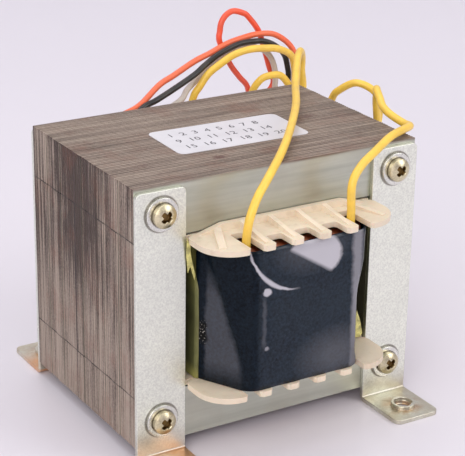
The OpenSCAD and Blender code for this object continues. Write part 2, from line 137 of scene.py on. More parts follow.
class CoilSettings(bpy.types.PropertyGroup):
    """Sizes and colours of the coil and its bobbin."""

    wrap_t: length_setting("Wrap", "Thickness of the crepe wrap", 0.45)
    front_w: length_setting("Flat front", "Half the width of the coil's flat front", 17)
    inner_corner_r: length_setting("Inner corner", "Corner radius of the innermost turn", 0.8)
    outer_corner_r: length_setting("Outer corner", "Corner radius of the finished coil", 4.5)
    thick_wire_d: length_setting("Secondary wire", "Diameter of the secondary's wire", 0.62)
    thin_wire_d: length_setting("Primary wire", "Diameter of the primary's wire", 0.42)
    crepe: colour_setting("Crepe", "Dark crepe wrap", (0.007, 0.012, 0.020))
    # Painted reflection: a pale colour that stands in for the clear film's reflections on the coil.
    painted_film_reflection: colour_setting("Painted film reflection", "Painted reflection on the clear film",
                              (0.46, 0.45, 0.49))
    nylon: colour_setting("Nylon", "Bobbin moulding", (0.788, 0.678, 0.525))
    film: colour_setting("Side film", "Yellow film beside the coil", (0.115, 0.118, 0.045))
    # Painted light: the yellow film's glow at its cut edges and at the coil's ends.
    painted_film_glow: colour_setting("Film edge", "Painted glow of the yellow film at its edges and ends",
                              (0.66, 0.62, 0.16))
    # Painted light: the film's yellow brightened where the folded-out ends catch the light.
    painted_lit_fold: colour_setting("Film fold", "Yellow film where it is folded out", (0.78, 0.72, 0.24))
    # The enamel's own red-brown, darkened to the shade in the comb's slots: partly painted shade.
    copper: colour_setting("Copper", "Enamelled wire", (0.30, 0.085, 0.035))


class HardwareSettings(bpy.types.PropertyGroup):
    """Finishes of the brackets and the clamp screws."""

    edge_r: length_setting("Sheet edge", "Rounding of the brackets' edges", 0.22)
    small_edge_r: length_setting("Small edge", "Rounding of screw, nut and washer edges", 0.12)
    head_r: length_setting("Head", "Radius of the screw heads", 3.1)
    head_dome_r: length_setting("Head dome", "Radius of the screw heads' dome", 4.84)
    washer_r: length_setting("Washer", "Radius of the front washers", 4.4)
    thread_r: length_setting("Thread", "Radius at which the screws' thread turns", 1.46)
    zinc: colour_setting("Zinc", "Plated sheet", (0.845, 0.865, 0.775))
    yellow_zinc: colour_setting("Yellow zinc", "Passivated screws", (0.70, 0.63, 0.43))
    bright_zinc: colour_setting("Bright zinc", "Washers and nuts", (0.72, 0.72, 0.67))


class StageSettings(bpy.types.PropertyGroup):
    """Camera, floor and light."""

    azimuth: angle_setting("Azimuth", "Camera's turn about the object", -31.484)
    elevation: angle_setting("Elevation", "Camera's height angle", 21.418)
    roll: angle_setting("Roll", "Camera's turn about its own line of sight", 0.953)
    distance: length_setting("Distance", "From the camera to what it looks at", 449.9)
    target: FloatVectorProperty(
        name="Target", description="What the camera looks at",
        default=(4.56 * MM, 1.75 * MM, 44.87 * MM), subtype="XYZ")
    lens: FloatProperty(name="Lens", description="Focal length in millimetres", default=127.24)
    floor: colour_setting("Floor", "Floor and backdrop", (0.76, 0.73, 0.79))
    sky: FloatProperty(name="Sky", description="Strength of the even light all round", default=0.88)
    key: FloatProperty(
        name="Key light", description="Power of the main softbox in watts", default=5.2)
    top: FloatProperty(
        name="Top light", description="Power of the overhead softbox in watts", default=3.8)
    fill: FloatProperty(
        name="Fill light", description="Power of the softbox at the left in watts", default=10)


# ---------- node helpers ----------

class Value:
    """A shader node's output. Arithmetic, abs and > on it add Math nodes to its tree."""

    def __init__(self, socket):
        self.socket = socket

    def __add__(self, other):
        return maths("ADD", self, other)

    def __sub__(self, other):
        return maths("SUBTRACT", self, other)

    def __rsub__(self, other):
        return maths("SUBTRACT", other, self)

    def __mul__(self, other):
        return maths("MULTIPLY", self, other)

    def __truediv__(self, other):
        return maths("DIVIDE", self, other)

    def __gt__(self, other):
        return maths("GREATER_THAN", self, other)

    def __abs__(self):
        return maths("ABSOLUTE", self)


def tree_of(*terms):
    """The node tree of the first Value among the terms."""
    return next(term.socket.id_data for term in terms if isinstance(term, Value))


def add_node(tree, kind, inputs, **settings):
    """Adds a node, sets its properties, and sets or links its inputs."""
    made = tree.nodes.new(kind)
    for key, value in settings.items():
        setattr(made, key, value)
    for key, value in inputs.items():
        if isinstance(value, Value):
            tree.links.new(value.socket, made.inputs[key])
        else:
            made.inputs[key].default_value = value
    return made


def output(tree, kind, inputs, socket=0, **settings):
    """Adds a node and gives one of its outputs."""
    return Value(add_node(tree, kind, inputs, **settings).outputs[socket])


def maths(operation, *terms):
    """The result of one Math node."""
    return output(tree_of(*terms), "ShaderNodeMath", dict(enumerate(terms)), operation=operation)


def most(first, *others):
    """The largest of several values."""
    for other in others:
        first = maths("MAXIMUM", first, other)
    return first


def hypot(a, b):
    return maths("SQRT", a * a + b * b)


def split(vector):
    """X, Y and Z of a vector."""
    made = add_node(tree_of(vector), "ShaderNodeSeparateXYZ", {0: vector})
    return [Value(part) for part in made.outputs]


def rescale(value, low, high, to_low=0.0, to_high=1.0):
    """Maps value from low..high to to_low..to_high, held at both ends."""
    return output(tree_of(value), "ShaderNodeMapRange",
                  {"Value": value, "From Min": low, "From Max": high,
                   "To Min": to_low, "To Max": to_high}, "Result")


def weigh(*terms):
    """Sum of (value, weight) pairs."""
    total = 0.0
    for value, weight in terms:
        total = maths("MULTIPLY_ADD", value, weight, total)
    return total


def white_noise(value):
    """A random tone for each different value."""
    return output(tree_of(value), "ShaderNodeTexWhiteNoise", {"W": value}, "Value",
                  noise_dimensions="1D")


def blend(amount, a, b, mode="MIX"):
    """Colour a turned into b by amount."""
    a, b = (colour if isinstance(colour, Value) else (*colour, 1.0) for colour in (a, b))
    return output(tree_of(amount, a, b), "ShaderNodeMix", {0: amount, 6: a, 7: b}, 2,
                  data_type="RGBA", blend_type=mode)


def shade(colour, low, high, value):
    """A colour made darker or lighter by a factor between low and high."""
    factor = rescale(value, 0.0, 1.0, low, high)
    grey = output(tree_of(value), "ShaderNodeCombineColor", {0: factor, 1: factor, 2: factor})
    return blend(1.0, colour, grey, mode="MULTIPLY")


def bump(height, distance, strength):
    return output(tree_of(height), "ShaderNodeBump",
                  {"Height": height, "Distance": distance, "Strength": strength})


def new_material(name, **constants):
    """A material whose Principled shader holds the constants, and its Object coordinates."""
    material = bpy.data.materials.new(name)
    material.use_nodes = True
    tree = material.node_tree
    tree.nodes.clear()
    shader = tree.nodes.new("ShaderNodeBsdfPrincipled")
    result = tree.nodes.new("ShaderNodeOutputMaterial")
    tree.links.new(shader.outputs[0], result.inputs["Surface"])
    for key, value in constants.items():
        shader.inputs[key.replace("_", " ")].default_value = value
    return material, output(tree, "ShaderNodeTexCoord", {}, "Object")


def feed(material, **sockets):
    """Links values to sockets of the material's shader, named with underscores for spaces."""
    tree = material.node_tree
    shader = next(node for node in tree.nodes if node.type == "BSDF_PRINCIPLED")
    for key, value in sockets.items():
        tree.links.new(value.socket, shader.inputs[key.replace("_", " ")])


def mottled(name, colour, scale, dark, pale, low=0.3, high=0.7, **constants):
    """A material of one colour, mottled from dark to pale times that colour."""
    material, coords = new_material(name, **constants)
    feed(material, Base_Color=shade(colour, dark, pale, grain(coords, scale, low=low, high=high)))
    return material


def shared_group(name, inputs, result, build):
    """The node group of that name, built on first use. Inputs are (name, default) pairs after the
    vector, and build makes the result from the inputs."""
    if name in bpy.data.node_groups:
        return bpy.data.node_groups[name]
    tree = bpy.data.node_groups.new(name, "ShaderNodeTree")
    tree.interface.new_socket("Vector", in_out="INPUT", socket_type="NodeSocketVector")
    for label, default in inputs:
        kind = "NodeSocketVector" if default is None else "NodeSocketFloat"
        made = tree.interface.new_socket(label, in_out="INPUT", socket_type=kind)
        if default is not None:
            made.default_value = default
    tree.interface.new_socket(result, in_out="OUTPUT", socket_type="NodeSocketFloat")
    given = {socket.name: Value(socket) for socket in tree.nodes.new("NodeGroupInput").outputs}
    end = tree.nodes.new("NodeGroupOutput")
    tree.links.new(build(tree, given).socket, end.inputs[result])
    return tree


def build_grain(tree, given):
    place = output(tree, "ShaderNodeVectorMath", {0: given["Vector"], 1: given["Stretch"]},
                   operation="MULTIPLY")
    field = output(tree, "ShaderNodeTexNoise", {"Vector": place, "Scale": given["Scale"],
                                                "Detail": given["Detail"], "Roughness": 0.6}, "Fac")
    return rescale(field, given["Low"], given["High"])


def grain(coords, scale, stretch=(1, 1, 1), detail=3.0, low=0.3, high=0.7):
    """Fine grain, stretched by a vector: brushed steel, crepe, plated speckle."""
    group = shared_group("Grain", (("Stretch", None), ("Scale", 1000.0), ("Detail", 3.0), ("Low", 0.3),
                                   ("High", 0.7)), "Value", build_grain)
    return output(tree_of(coords), "ShaderNodeGroup",
                  {"Vector": coords, "Stretch": stretch, "Scale": scale, "Detail": detail,
                   "Low": low, "High": high}, node_tree=group)


def build_stains(tree, given):
    wide = output(tree, "ShaderNodeTexNoise", {"Vector": given["Vector"], "Scale": given["Scale"],
                                               "Detail": 5.0, "Roughness": 0.65}, "Fac")
    edge = 1.0 - given["Cover"]
    return rescale(wide, edge - given["Softness"], edge + given["Softness"])


def stains(coords, scale, cover, softness):
    """Soft-edged stains with a ragged rim: rust, dirt and tarnish."""
    group = shared_group("Stains", (("Scale", 100.0), ("Cover", 0.4), ("Softness", 0.15)), "Mask",
                         build_stains)
    return output(tree_of(coords), "ShaderNodeGroup",
                  {"Vector": coords, "Scale": scale, "Cover": cover, "Softness": softness},
                  node_tree=group)


# ---------- mesh helpers ----------

SHARP = math.radians(35)
HELIX_STEPS = 24


def new_piece(name, mesh, material, smooth=True, sharp=SHARP):
    """Turns a bmesh into a piece that rides on the part."""
    data = bpy.data.meshes.new(name)
    mesh.to_mesh(data)
    mesh.free()
    if smooth:
        data.polygons.foreach_set("use_smooth", [True] * len(data.polygons))
        data.set_sharp_from_angle(angle=sharp)
    data.materials.append(material)
    piece = bpy.data.objects.new(name, data)
    bpy.context.scene.collection.objects.link(piece)
    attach(piece, "root")
    return piece


def merged_copy(node):
    """A bmesh with a CAD node's shape, its loose triangles merged and flat parts joined."""
    mesh = bmesh.new()
    mesh.from_mesh(frame["nodes"][node].data)
    bmesh.ops.remove_doubles(mesh, verts=mesh.verts, dist=MERGE)
    bmesh.ops.dissolve_limit(mesh, angle_limit=math.radians(0.5), verts=mesh.verts, edges=mesh.edges)
    return mesh


def soft_copy(name, node, width, material):
    """A copy of a CAD node with rounded edges, which stands for it."""
    piece = new_piece(name, merged_copy(node), material)
    edges = piece.modifiers.new("Soft edges", "BEVEL")
    edges.width = width
    edges.segments = 2
    edges.limit_method = "ANGLE"
    edges.angle_limit = SHARP
    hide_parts(node)


def raise_faces(mesh, faces, height):
    """Extrudes faces straight up. Gives what the extrusion made."""
    made = bmesh.ops.extrude_face_region(mesh, geom=faces)["geom"]
    corners = [v for v in made if isinstance(v, bmesh.types.BMVert)]
    bmesh.ops.translate(mesh, vec=(0, 0, height), verts=corners)
    return made


def climb(edge):
    """How much higher one end of an edge is than the other."""
    return abs(edge.verts[0].co.z - edge.verts[1].co.z)


def cut_upright(mesh, cuts):
    """Cuts the edges that run up the coil."""
    upright = [e for e in mesh.edges if climb(e) > COIL_TALL / 2]
    bmesh.ops.subdivide_edges(mesh, edges=upright, cuts=cuts, use_grid_fill=True)


def baked(curve):
    """A mesh with the curve's shape. The curve is thrown away."""
    holder = bpy.data.objects.new(curve.name, curve)
    made = bpy.data.meshes.new_from_object(holder)
    bpy.data.objects.remove(holder)
    bpy.data.curves.remove(curve)
    return made


def add_tube(mesh, points, radius, sides=6, closed=False):
    """Adds a round tube along points to a bmesh."""
    curve = bpy.data.curves.new("tube", "CURVE")
    curve.dimensions = "3D"
    curve.bevel_depth = radius
    curve.bevel_resolution = sides // 2 - 2
    curve.use_fill_caps = not closed
    line = curve.splines.new("POLY")
    line.points.add(len(points) - 1)
    for place, point in zip(line.points, points):
        place.co = (*point, 1.0)
    line.use_cyclic_u = closed
    made = baked(curve)
    mesh.from_mesh(made)
    bpy.data.meshes.remove(made)


def helix(centre, axis, radius, pitch, length):
    """Points of a helix about axis, which is Y or Z."""
    points = []
    for i in range(int(length / pitch * HELIX_STEPS) + 1):
        angle = math.tau * i / HELIX_STEPS
        across, up = radius * math.cos(angle), radius * math.sin(angle)
        along = pitch * i / HELIX_STEPS
        offset = Vector((across, up, along)) if axis == "Z" else Vector((across, along, up))
        points.append(Vector(centre) + offset)
    return points


def paint(node, material):
    """Gives a CAD node its finish."""
    node_object = frame["nodes"][node]
    for place in node_object.material_slots:
        place.material = material
    if not node_object.material_slots:
        node_object.data.materials.append(material)


# ---------- leads ----------

# Round positions in millimetres along each lead, from the coil to its bare end.
YELLOW_LEFT = (
    (-16, -38.5, 56.9), (-16, -38.5, 60), (-15.5, -39, 65), (-12.5, -37.5, 69.5),
    (-7.5, -34.5, 73), (2, -26, 76), (13, -13, 77), (25, 3, 77), (34, 17, 77),
    (39.5, 25, 79), (43.5, 30.5, 81), (47, 34.5, 81.5), (50, 38, 78.5), (51, 39.5, 74),
    (52, 40, 69), (52.5, 40.5, 61), (53, 42, 54), (54.5, 45.5, 50), (56.5, 50, 50.5),
    (57.5, 52.5, 55), (57, 52, 61), (56, 50.5, 67), (55.5, 50, 71), (53, 48.5, 76),
    (47.5, 47, 79), (42.5, 46.5, 80), (36.5, 46, 80.5), (31, 46, 79.5), (26.5, 46.5, 77),
    (23, 47, 74.5), (20.5, 47.5, 71), (18.5, 48, 67.5), (17, 49, 58), (17, 50, 45),
    (18, 51, 30), (20, 53, 15), (23, 57.5, 5), (25, 63, 1.9), (26, 68, 1.3), (26.5, 73, 1.3))
YELLOW_RIGHT = (
    (15.5, -38, 56.9), (15.5, -38, 61), (15.5, -38, 68.5), (19.5, -36, 72),
    (26, -33, 74), (33.5, -29, 75.5), (40.5, -25.5, 75.5), (45.5, -21.5, 74.5),
    (46.5, -17.5, 74), (45, -13.5, 75.5), (44.5, -10.5, 77), (45.5, -7.5, 78.5),
    (46.5, -4.5, 80), (50, 0, 78), (51.5, 2, 73.5), (53.5, 3, 61), (54, 5, 54.5),
    (56, 8.5, 50.5), (58.5, 12.5, 52), (60, 13.5, 58), (60.5, 12.5, 67), (58.5, 12, 73),
    (54.5, 16, 75.5), (51.5, 20.5, 72.5), (51, 23, 69.5), (50, 26, 61), (49, 31, 55),
    (49.5, 37, 54.5), (50, 41.5, 60), (50, 42.5, 66), (46.5, 43, 71.5),
    (42.5, 43, 72.5), (39, 44, 71), (37, 46, 65), (35.5, 49, 47),
    (34.5, 53, 20), (33, 58.5, 5.5), (33, 63, 2), (33.5, 68, 1.3), (33.5, 73, 1.3))
ORANGE = (
    (-16, 38, 56.9), (-16, 38, 61), (-13.5, 40, 65), (-8, 43.5, 67), (-0.5, 46, 68.5),
    (7, 48, 73), (12.5, 49, 75), (20, 50, 78), (26, 51, 79.5), (32, 51.5, 81.5),
    (38, 52, 82.5), (43, 52, 83), (48, 52, 82.5), (52, 52, 80.5), (55.5, 52.5, 77.5),
    (57.5, 53, 74), (58.5, 53.5, 69.5), (58.5, 54, 65), (59.5, 54.5, 52), (60, 54.5, 38),
    (60, 56, 22), (59.5, 59, 8.5), (59, 64, 2), (58.5, 69, 1.1), (58, 74, 1.1))
BLACK = (
    (-8, 41, 56.9), (-8, 41, 61), (-6, 41.5, 65.5), (-1, 42.5, 69), (4, 44, 70),
    (10.5, 45.5, 72), (18.5, 47, 75), (23, 48.5, 77), (28, 49, 79.5), (35, 49.5, 81.5),
    (41, 50, 81.5), (44.5, 50, 81), (48.5, 50, 79), (52.5, 51.5, 75.5), (54.5, 52.5, 71),
    (55.5, 53.5, 67), (55, 54.5, 57), (54.5, 56, 42), (54, 56.5, 26), (53.5, 59, 11),
    (52.5, 64, 2.5), (52, 69, 1.1), (51.5, 74, 1.1))
WHITE = (
    (0, 41, 56.9), (0, 41, 61), (3, 42, 64.5), (8, 44.5, 66.5), (14, 47, 68),
    (17, 49, 70), (21, 50.5, 72), (25, 51, 74.5), (30, 51.5, 77), (36, 52, 79),
    (42, 52.5, 79), (47, 52.5, 76.5), (50, 53, 71.5), (51, 54, 65), (50.5, 56, 54),
    (49.5, 57.5, 40), (48, 59, 25), (47, 61, 11), (46.5, 66, 2.5), (46, 71, 1.1),
    (45.5, 76, 1.1))
RED = (
    (16, 38, 56.9), (16, 38, 61), (18.5, 41, 64.5), (25, 47, 64.5), (34, 53, 61.5),
    (42.5, 56, 59.5), (48.5, 56.5, 61.5), (52, 56.5, 65.5), (50, 56, 71), (48, 55, 75.5),
    (45, 54.5, 83), (41, 54, 88), (39, 54, 89.5), (35.5, 54, 90.5), (33, 54, 89.5),
    (31.5, 54, 87.5), (31, 54, 85), (31, 54, 81.5), (36, 56, 73.5), (40.5, 58, 68.5),
    (45, 60, 63.5), (46.5, 62, 54), (46, 63, 41), (44, 63.5, 25), (41.5, 65, 11),
    (40, 69, 2.5), (39.5, 73, 1.1), (39.5, 77, 1.1))

# Name, route, colour setting, whether it is a thick lead, and its length in metres.
LEADS = (
    ("lead_yellow_left", YELLOW_LEFT, "yellow", True, 0.302),
    ("lead_yellow_right", YELLOW_RIGHT, "yellow", True, 0.2835),
    ("lead_orange", ORANGE, "orange", False, 0.174),
    ("lead_black", BLACK, "black", False, 0.160),
    ("lead_white", WHITE, "white", False, 0.1465),
    ("lead_red", RED, "red", False, 0.189),
)
LEAD_COLOURS = ("yellow", "orange", "black", "white", "red")

# Tints of the insulation's finger marks and of the bare ends.
FINGER_MARKS = (0.25, 0.2, 0.15)
TIN = (0.62, 0.61, 0.58)

# A bare end's strands, and how far they turn about the one in the middle.
STRANDS, TWIST, END_STEPS = 6, math.radians(420), 16


def insulation(colour_name, colour):
    """Soft PVC: even colour, a faint mottle and finger marks."""
    material, coords = new_material(f"{colour_name} insulation", Coat_Weight=0.15, Coat_Roughness=0.25,
                                    IOR=1.5)
    mottle = grain(coords, 260.0, low=0.25, high=0.75)
    base = shade(colour, 0.86, 1.06, mottle)
    base = blend(stains(coords, 140.0, 0.42, 0.1) * 0.12, base, FINGER_MARKS)
    feed(material, Base_Color=base, Roughness=rescale(mottle, 0, 1, 0.34, 0.46),
         Normal=bump(grain(coords, 2600.0), 0.03 * MM, 0.35))
    return material


def tinned_wire():
    material, coords = new_material("Tinned wire", Metallic=1.0)
    mottle = grain(coords, 1800.0)
    feed(material, Base_Color=shade(TIN, 0.75, 1.1, mottle),
         Roughness=rescale(mottle, 0, 1, 0.28, 0.42))
    return material


def bezier_lead(name, route, diameter, material):
    """A smooth curve through every point of the route, as thick as the lead."""
    curve = bpy.data.curves.new(name, "CURVE")
    curve.dimensions = "3D"
    curve.bevel_depth = diameter / 2
    curve.bevel_resolution = 4
    curve.use_fill_caps = True
    curve.resolution_u = 8
    points = [Vector(place) * MM for place in route]
    line = curve.splines.new("BEZIER")
    line.bezier_points.add(len(points) - 1)
    last = len(points) - 1
    for i, place in enumerate(line.bezier_points):
        reach = (points[min(i + 1, last)] - points[max(i - 1, 0)]) / 6
        place.handle_left_type = place.handle_right_type = "FREE"
        place.co = points[i]
        place.handle_left = points[i] - reach
        place.handle_right = points[i] + reach
    curve.materials.append(material)
    piece = bpy.data.objects.new(name, curve)
    bpy.context.scene.collection.objects.link(piece)
    return piece


def bare_end(name, route, settings, material):
    """Twisted tinned strands that carry on from the insulation's end."""
    end, before = Vector(route[-1]) * MM, Vector(route[-2]) * MM
    turn = (end - before).normalized().to_track_quat("Z", "Y").to_matrix()
    mesh = bmesh.new()
    for strand in range(STRANDS + 1):
        radius = 0.0 if strand == STRANDS else settings.strand_d * 0.95
        points = []
        for i in range(END_STEPS + 1):
            share = i / END_STEPS
            angle = math.tau * strand / STRANDS + TWIST * share
            flat = Vector((radius * math.cos(angle), radius * math.sin(angle), settings.bare_l * share))
            points.append(end + turn @ flat)
        add_tube(mesh, points, settings.strand_d / 2)
    return new_piece(name, mesh, material)


class TRANSFORMER_OT_leads(bpy.types.Operator):
    """Make the six flying leads and their bare ends"""

    bl_idname = "transformer.leads"
    bl_label = "Leads"

    def execute(self, context):
        settings = context.scene.transformer_leads
        tin = tinned_wire()
        skins = {name: insulation(name, getattr(settings, name)) for name in LEAD_COLOURS}
        for name, route, colour, thick, length in LEADS:
            diameter = settings.thick_d if thick else settings.thin_d
            lead = bezier_lead(f"{name}_cord", route, diameter, skins[colour])
            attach(lead, "root")
            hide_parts(name)
            end = bare_end(name.replace("lead", "bare_end"), route, settings, tin)
            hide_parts("tinned_ends")
        return {"FINISHED"}


# ---------- core ----------

# Centre and reach in millimetres, and strength, of the rust spots on the core's top.
RUST_BLOTS = (
    (-11.5, -17.5, 2.6, 1.6, 0.75), (27.5, 1.0, 3.2, 1.8, 0.55), (-31.5, -14.0, 2.4, 2.2, 0.45),
    (-0.5, 21.0, 3.0, 1.5, 0.30), (31.0, -18.0, 1.6, 1.0, 0.35), (-36.0, 8.0, 2.0, 1.4, 0.25))

# Tints of the joints, of the plates' edges inside the windows, which are varnish darkened further by
# painted shade, and of the outer plates' faces.
JOINT_DARK = (0.018, 0.012, 0.010)
WINDOW_VARNISH_AND_SHADE = (0.085, 0.08, 0.05)
FACE_STAIN = (0.40, 0.36, 0.28)
FACE_RIM = (0.16, 0.08, 0.06)
FACE_JOINT = (0.03, 0.025, 0.02)

# Offsets that keep the random tones of plates, packets and their halves apart.
PLATE_SEED, HALF_SEED, PACKET_SEED = 300.5, 70.0, 40.5

# How far apart in their pattern the streaks of two neighbouring plates are taken.
STREAK_STEP = 0.37


def packet_seam(depth, settings):
    """Dark line between two packets, strongest and widest at one of them."""
    along = depth / settings.per_packet
    number = maths("ROUND", along)
    off = abs(along - number)
    chosen = rescale(white_noise(number), 0.5, 0.95, 0.1, 0.55)
    main = maths("COMPARE", number, settings.open_seam, 0.5)
    fine = rescale(off, 0.014, 0.055, 1.0, 0.0) * most(chosen, main)
    return most(fine, rescale(off, 0.035, 0.085, 1.0, 0.0) * main)


def lamination_steel(settings):
    """Varnished plate edges in packets, with dark joints, and bare faces front and back."""
    material, coords = new_material("Lamination steel")
    tree = material.node_tree
    x, y, z = split(coords)
    facing_x, facing_y, _ = split(output(tree, "ShaderNodeTexCoord", {}, "Normal"))
    flat_face = abs(facing_y) > 0.7
    upright = abs(facing_x) > 0.7

    # Each plate, each packet, and each packet's E or I half has a tone of its own.
    depth = (y - CORE_FRONT) / settings.pitch
    index, phase = maths("FLOOR", depth), maths("FRACT", depth)
    packet = maths("FLOOR", index / settings.per_packet)
    joints = (CORE_TOP - YOKE_H, CORE_BOTTOM + YOKE_H)
    joint_z = rescale(maths("MODULO", packet, 2.0), 0.0, 1.0, *joints)
    half = z > joint_z
    plate_tone = white_noise(half * PLATE_SEED + index)
    half_tone = white_noise(half * HALF_SEED + (packet + PACKET_SEED))

    # Streaks run along each plate's edge, and bundles of plates share a tone.
    streak_place = output(tree, "ShaderNodeCombineXYZ", {0: x, 1: index * STREAK_STEP, 2: z})
    streak = grain(streak_place, 75.0, detail=5.0)
    bundle = grain(coords, 420.0, stretch=(0.05, 1.0, 0.05), detail=4.0, low=0.36, high=0.64)
    speck = grain(coords, 1500.0, detail=2.0)
    cloud = grain(coords, 42.0, low=0.32, high=0.68)
    glint = grain(coords, 1050.0, stretch=(0.025, 1.0, 0.025), detail=2.0, low=0.60, high=0.72)
    tone = weigh((plate_tone, 0.26), (half_tone, 0.10), (streak, 0.16), (bundle, 0.26), (speck, 0.18),
                 (cloud, 0.12), (glint, 0.30))

    # The sides are paler below, with a dark patch above, and the top is calmer than they are.
    fade = rescale(z, CORE_BOTTOM, CORE_BOTTOM + 45 * MM, 0.17, -0.01)
    patch = rescale(cloud * (5 * MM) + abs(y), 12 * MM, 19 * MM, -0.27, 0.0)
    patch = patch * rescale(z, CORE_BOTTOM + 27 * MM, CORE_BOTTOM + 50 * MM)
    tone = (fade + patch) * upright + tone
    calm = (tone - 0.52) * 0.55 + 0.565
    tone = tone * upright + calm * (1.0 - upright)
    edge = blend(rescale(tone, 0.34, 0.73), settings.dark_edge, settings.pale_edge)
    rust = stains(coords, 95.0, 0.40, 0.10) * rescale(streak, 0, 1, 0.15, 0.60)
    edge = blend(rust, edge, settings.rust)
    edge = blend(rust_blots(x, y, z, cloud, speck), edge, settings.blot)

    # A dark line lies between plates, and wider ones where the E plates meet the I plates.
    def joint_line(height):
        return rescale(abs(z - height), settings.joint_w * 0.4, settings.joint_w, 1.0, 0.0)

    nearest = maths("MINIMUM", phase, 1.0 - phase)
    between = rescale(nearest, 0.04, 0.2, 0.42, 0.0)
    middle = maths("COMPARE", z, sum(joints) / 2, (joints[0] - joints[1]) / 2)
    seam = packet_seam(depth, settings) * (middle * 0.65 + 0.35)
    here = joint_line(joint_z)
    joint = most(here * 0.92, most(*map(joint_line, joints)) * 0.72)
    edge = blend(most(between, seam, joint), edge, JOINT_DARK)
    # Inside the windows the plates' edges are darker: varnish and painted shade.
    windowed = upright * (1.0 - (abs(x) > settings.leg_x))
    edge = blend(windowed, edge, WINDOW_VARNISH_AND_SHADE)

    # The outer plates' faces are bare, stained, and brown along their top rim.
    roll_marks = grain(coords, 420.0, stretch=(0.06, 1.0, 1.0), detail=5.0)
    face = shade(settings.face, 0.80, 1.05, roll_marks)
    face = blend(stains(coords, 60.0, 0.45, 0.14) * 0.30, face, FACE_STAIN)
    rim = rescale(z, CORE_TOP - 0.8 * MM, CORE_TOP - 0.2 * MM, 0.0, 0.85)
    face = blend(rim * rescale(cloud, 0, 1, 0.3, 1.0), face, FACE_RIM)
    face = blend(here * 0.8, face, FACE_JOINT)

    height = weigh((roll_marks, 0.3), (rescale(nearest, 0.0, 0.22), 0.7))
    feed(material, Base_Color=blend(flat_face, edge, face),
         Metallic=rescale(flat_face, 0, 1, 0.15, 0.9),
         Roughness=rescale(flat_face, 0, 1, 0.55, 0.40),
         Normal=bump(height, 0.05 * MM, 0.5))
    return material


def rust_blots(x, y, z, cloud, speck):
    """Ragged rust spots on the core's top."""
    ragged = speck * 0.7 + cloud * 0.5
    spots = []
    for spot_x, spot_y, reach_x, reach_y, strength in RUST_BLOTS:
        off = hypot(x * (1 / (reach_x * MM)) - spot_x / reach_x,
                    y * (1 / (reach_y * MM)) - spot_y / reach_y)
        spots.append(rescale(off + ragged, 0.9, 1.6, strength, 0.0))
    return most(*spots) * (z > CORE_TOP - 0.1 * MM)


class TRANSFORMER_OT_core(bpy.types.Operator):
    """Finish the core's E and I packets"""

    bl_idname = "transformer.core"
    bl_label = "Core"

    def execute(self, context):
        steel = lamination_steel(context.scene.transformer_core)
        for node in frame["nodes"]:
            if "_packet_" in node:
                paint(node, steel)
        return {"FINISHED"}


# ---------- bobbin and coil ----------

# Painted reflections on the clear film on the coil's front, in millimetres: centre X and Z, and the two
# radii.
FILM_WEDGE = (1.6, 53.2, 8.4, 6.2)
FILM_CURL = (-2.2, 61.0, 1.0, 1.0)
FILM_SPOT = (-12.4, 46.3, 1.25, 1.1)
FILM_DOT = (-12.3, 31.0, 0.7, 0.6)
FILM_LOW_CLOUD = (9.0, 25.0, 14.0, 9.0)
FILM_HIGH_CLOUD = (1.0, 56.0, 13.0, 8.0)

# The curl is an arc of this radius about its centre.
FILM_CURL_R = 15.45

# On the coil's left side the film has a slanting fold, where Y is FOLD_SLOPE times Z less FOLD_START.
FOLD_SLOPE, FOLD_START = 0.329, 49.32

# Outlines of the two torn film ends, as X and Z in millimetres, and the Y of their feet, which is
# just in front of the straps.
FLAP_FOOT_Y = -29.9
FLAP_LEFT = ((-28.4, 59.7), (-27.3, 57.4), (-26.8, 53.5), (-25.4, 48.9), (-25.7, 47.6), (-27.0, 51.6),
             (-27.6, 49.8), (-28.2, 54.0))
FLAP_RIGHT = ((24.2, 28.7), (26.0, 24.4), (26.7, 21.2), (26.0, 20.2), (24.4, 20.4))

# Shares of the coil's build, from the tube to the wrap: where each winding's turns start and end,
# and how far out the body reaches that stands for the secondary.
PRIMARY_SPAN, SECONDARY_SPAN, BODY_END = (0.0, 0.48), (0.55, 0.87), 0.76

# Distance between turns in wire diameters, and how far in the first one lies, in turns.
TURN_PITCH, PRIMARY_FIRST, SECONDARY_FIRST = 1.06, 0.6, 0.5

# Cuts across the height of the wrap and of the side films.
WRAP_CUTS, SIDE_FILM_CUTS = 26, 22

# How far a torn film end comes forward per millimetre of height, and how thick it is.
FLAP_LEAN_LEFT, FLAP_LEAN_RIGHT = 0.07, 0.08
FLAP_T = 0.16 * MM
BOBBIN_EDGE_R = 0.22 * MM

# Tints of the bobbin and the coil. The tape's tint is darkened to the shade in the comb's slots, which
# is painted shade.
NYLON_STAIN = (0.42, 0.30, 0.16)
CREPE_CLOUD = (0.017, 0.029, 0.041)
BARE_CREPE = (0.012, 0.012, 0.012)
CRUMBS = (0.34, 0.33, 0.30)
TAPE = (0.20, 0.145, 0.055)


def bobbin_nylon(settings):
    material, coords = new_material("Bobbin nylon", Subsurface_Weight=0.12, Subsurface_Scale=1.5 * MM,
                                    IOR=1.52)
    cloud = grain(coords, 70.0, detail=4.0)
    base = shade(settings.nylon, 0.90, 1.05, cloud)
    base = blend(stains(coords, 260.0, 0.40, 0.06) * 0.22, base, NYLON_STAIN)
    feed(material, Base_Color=base, Roughness=rescale(cloud, 0, 1, 0.42, 0.55),
         Normal=bump(grain(coords, 1500.0), 0.04 * MM, 0.3))
    return material


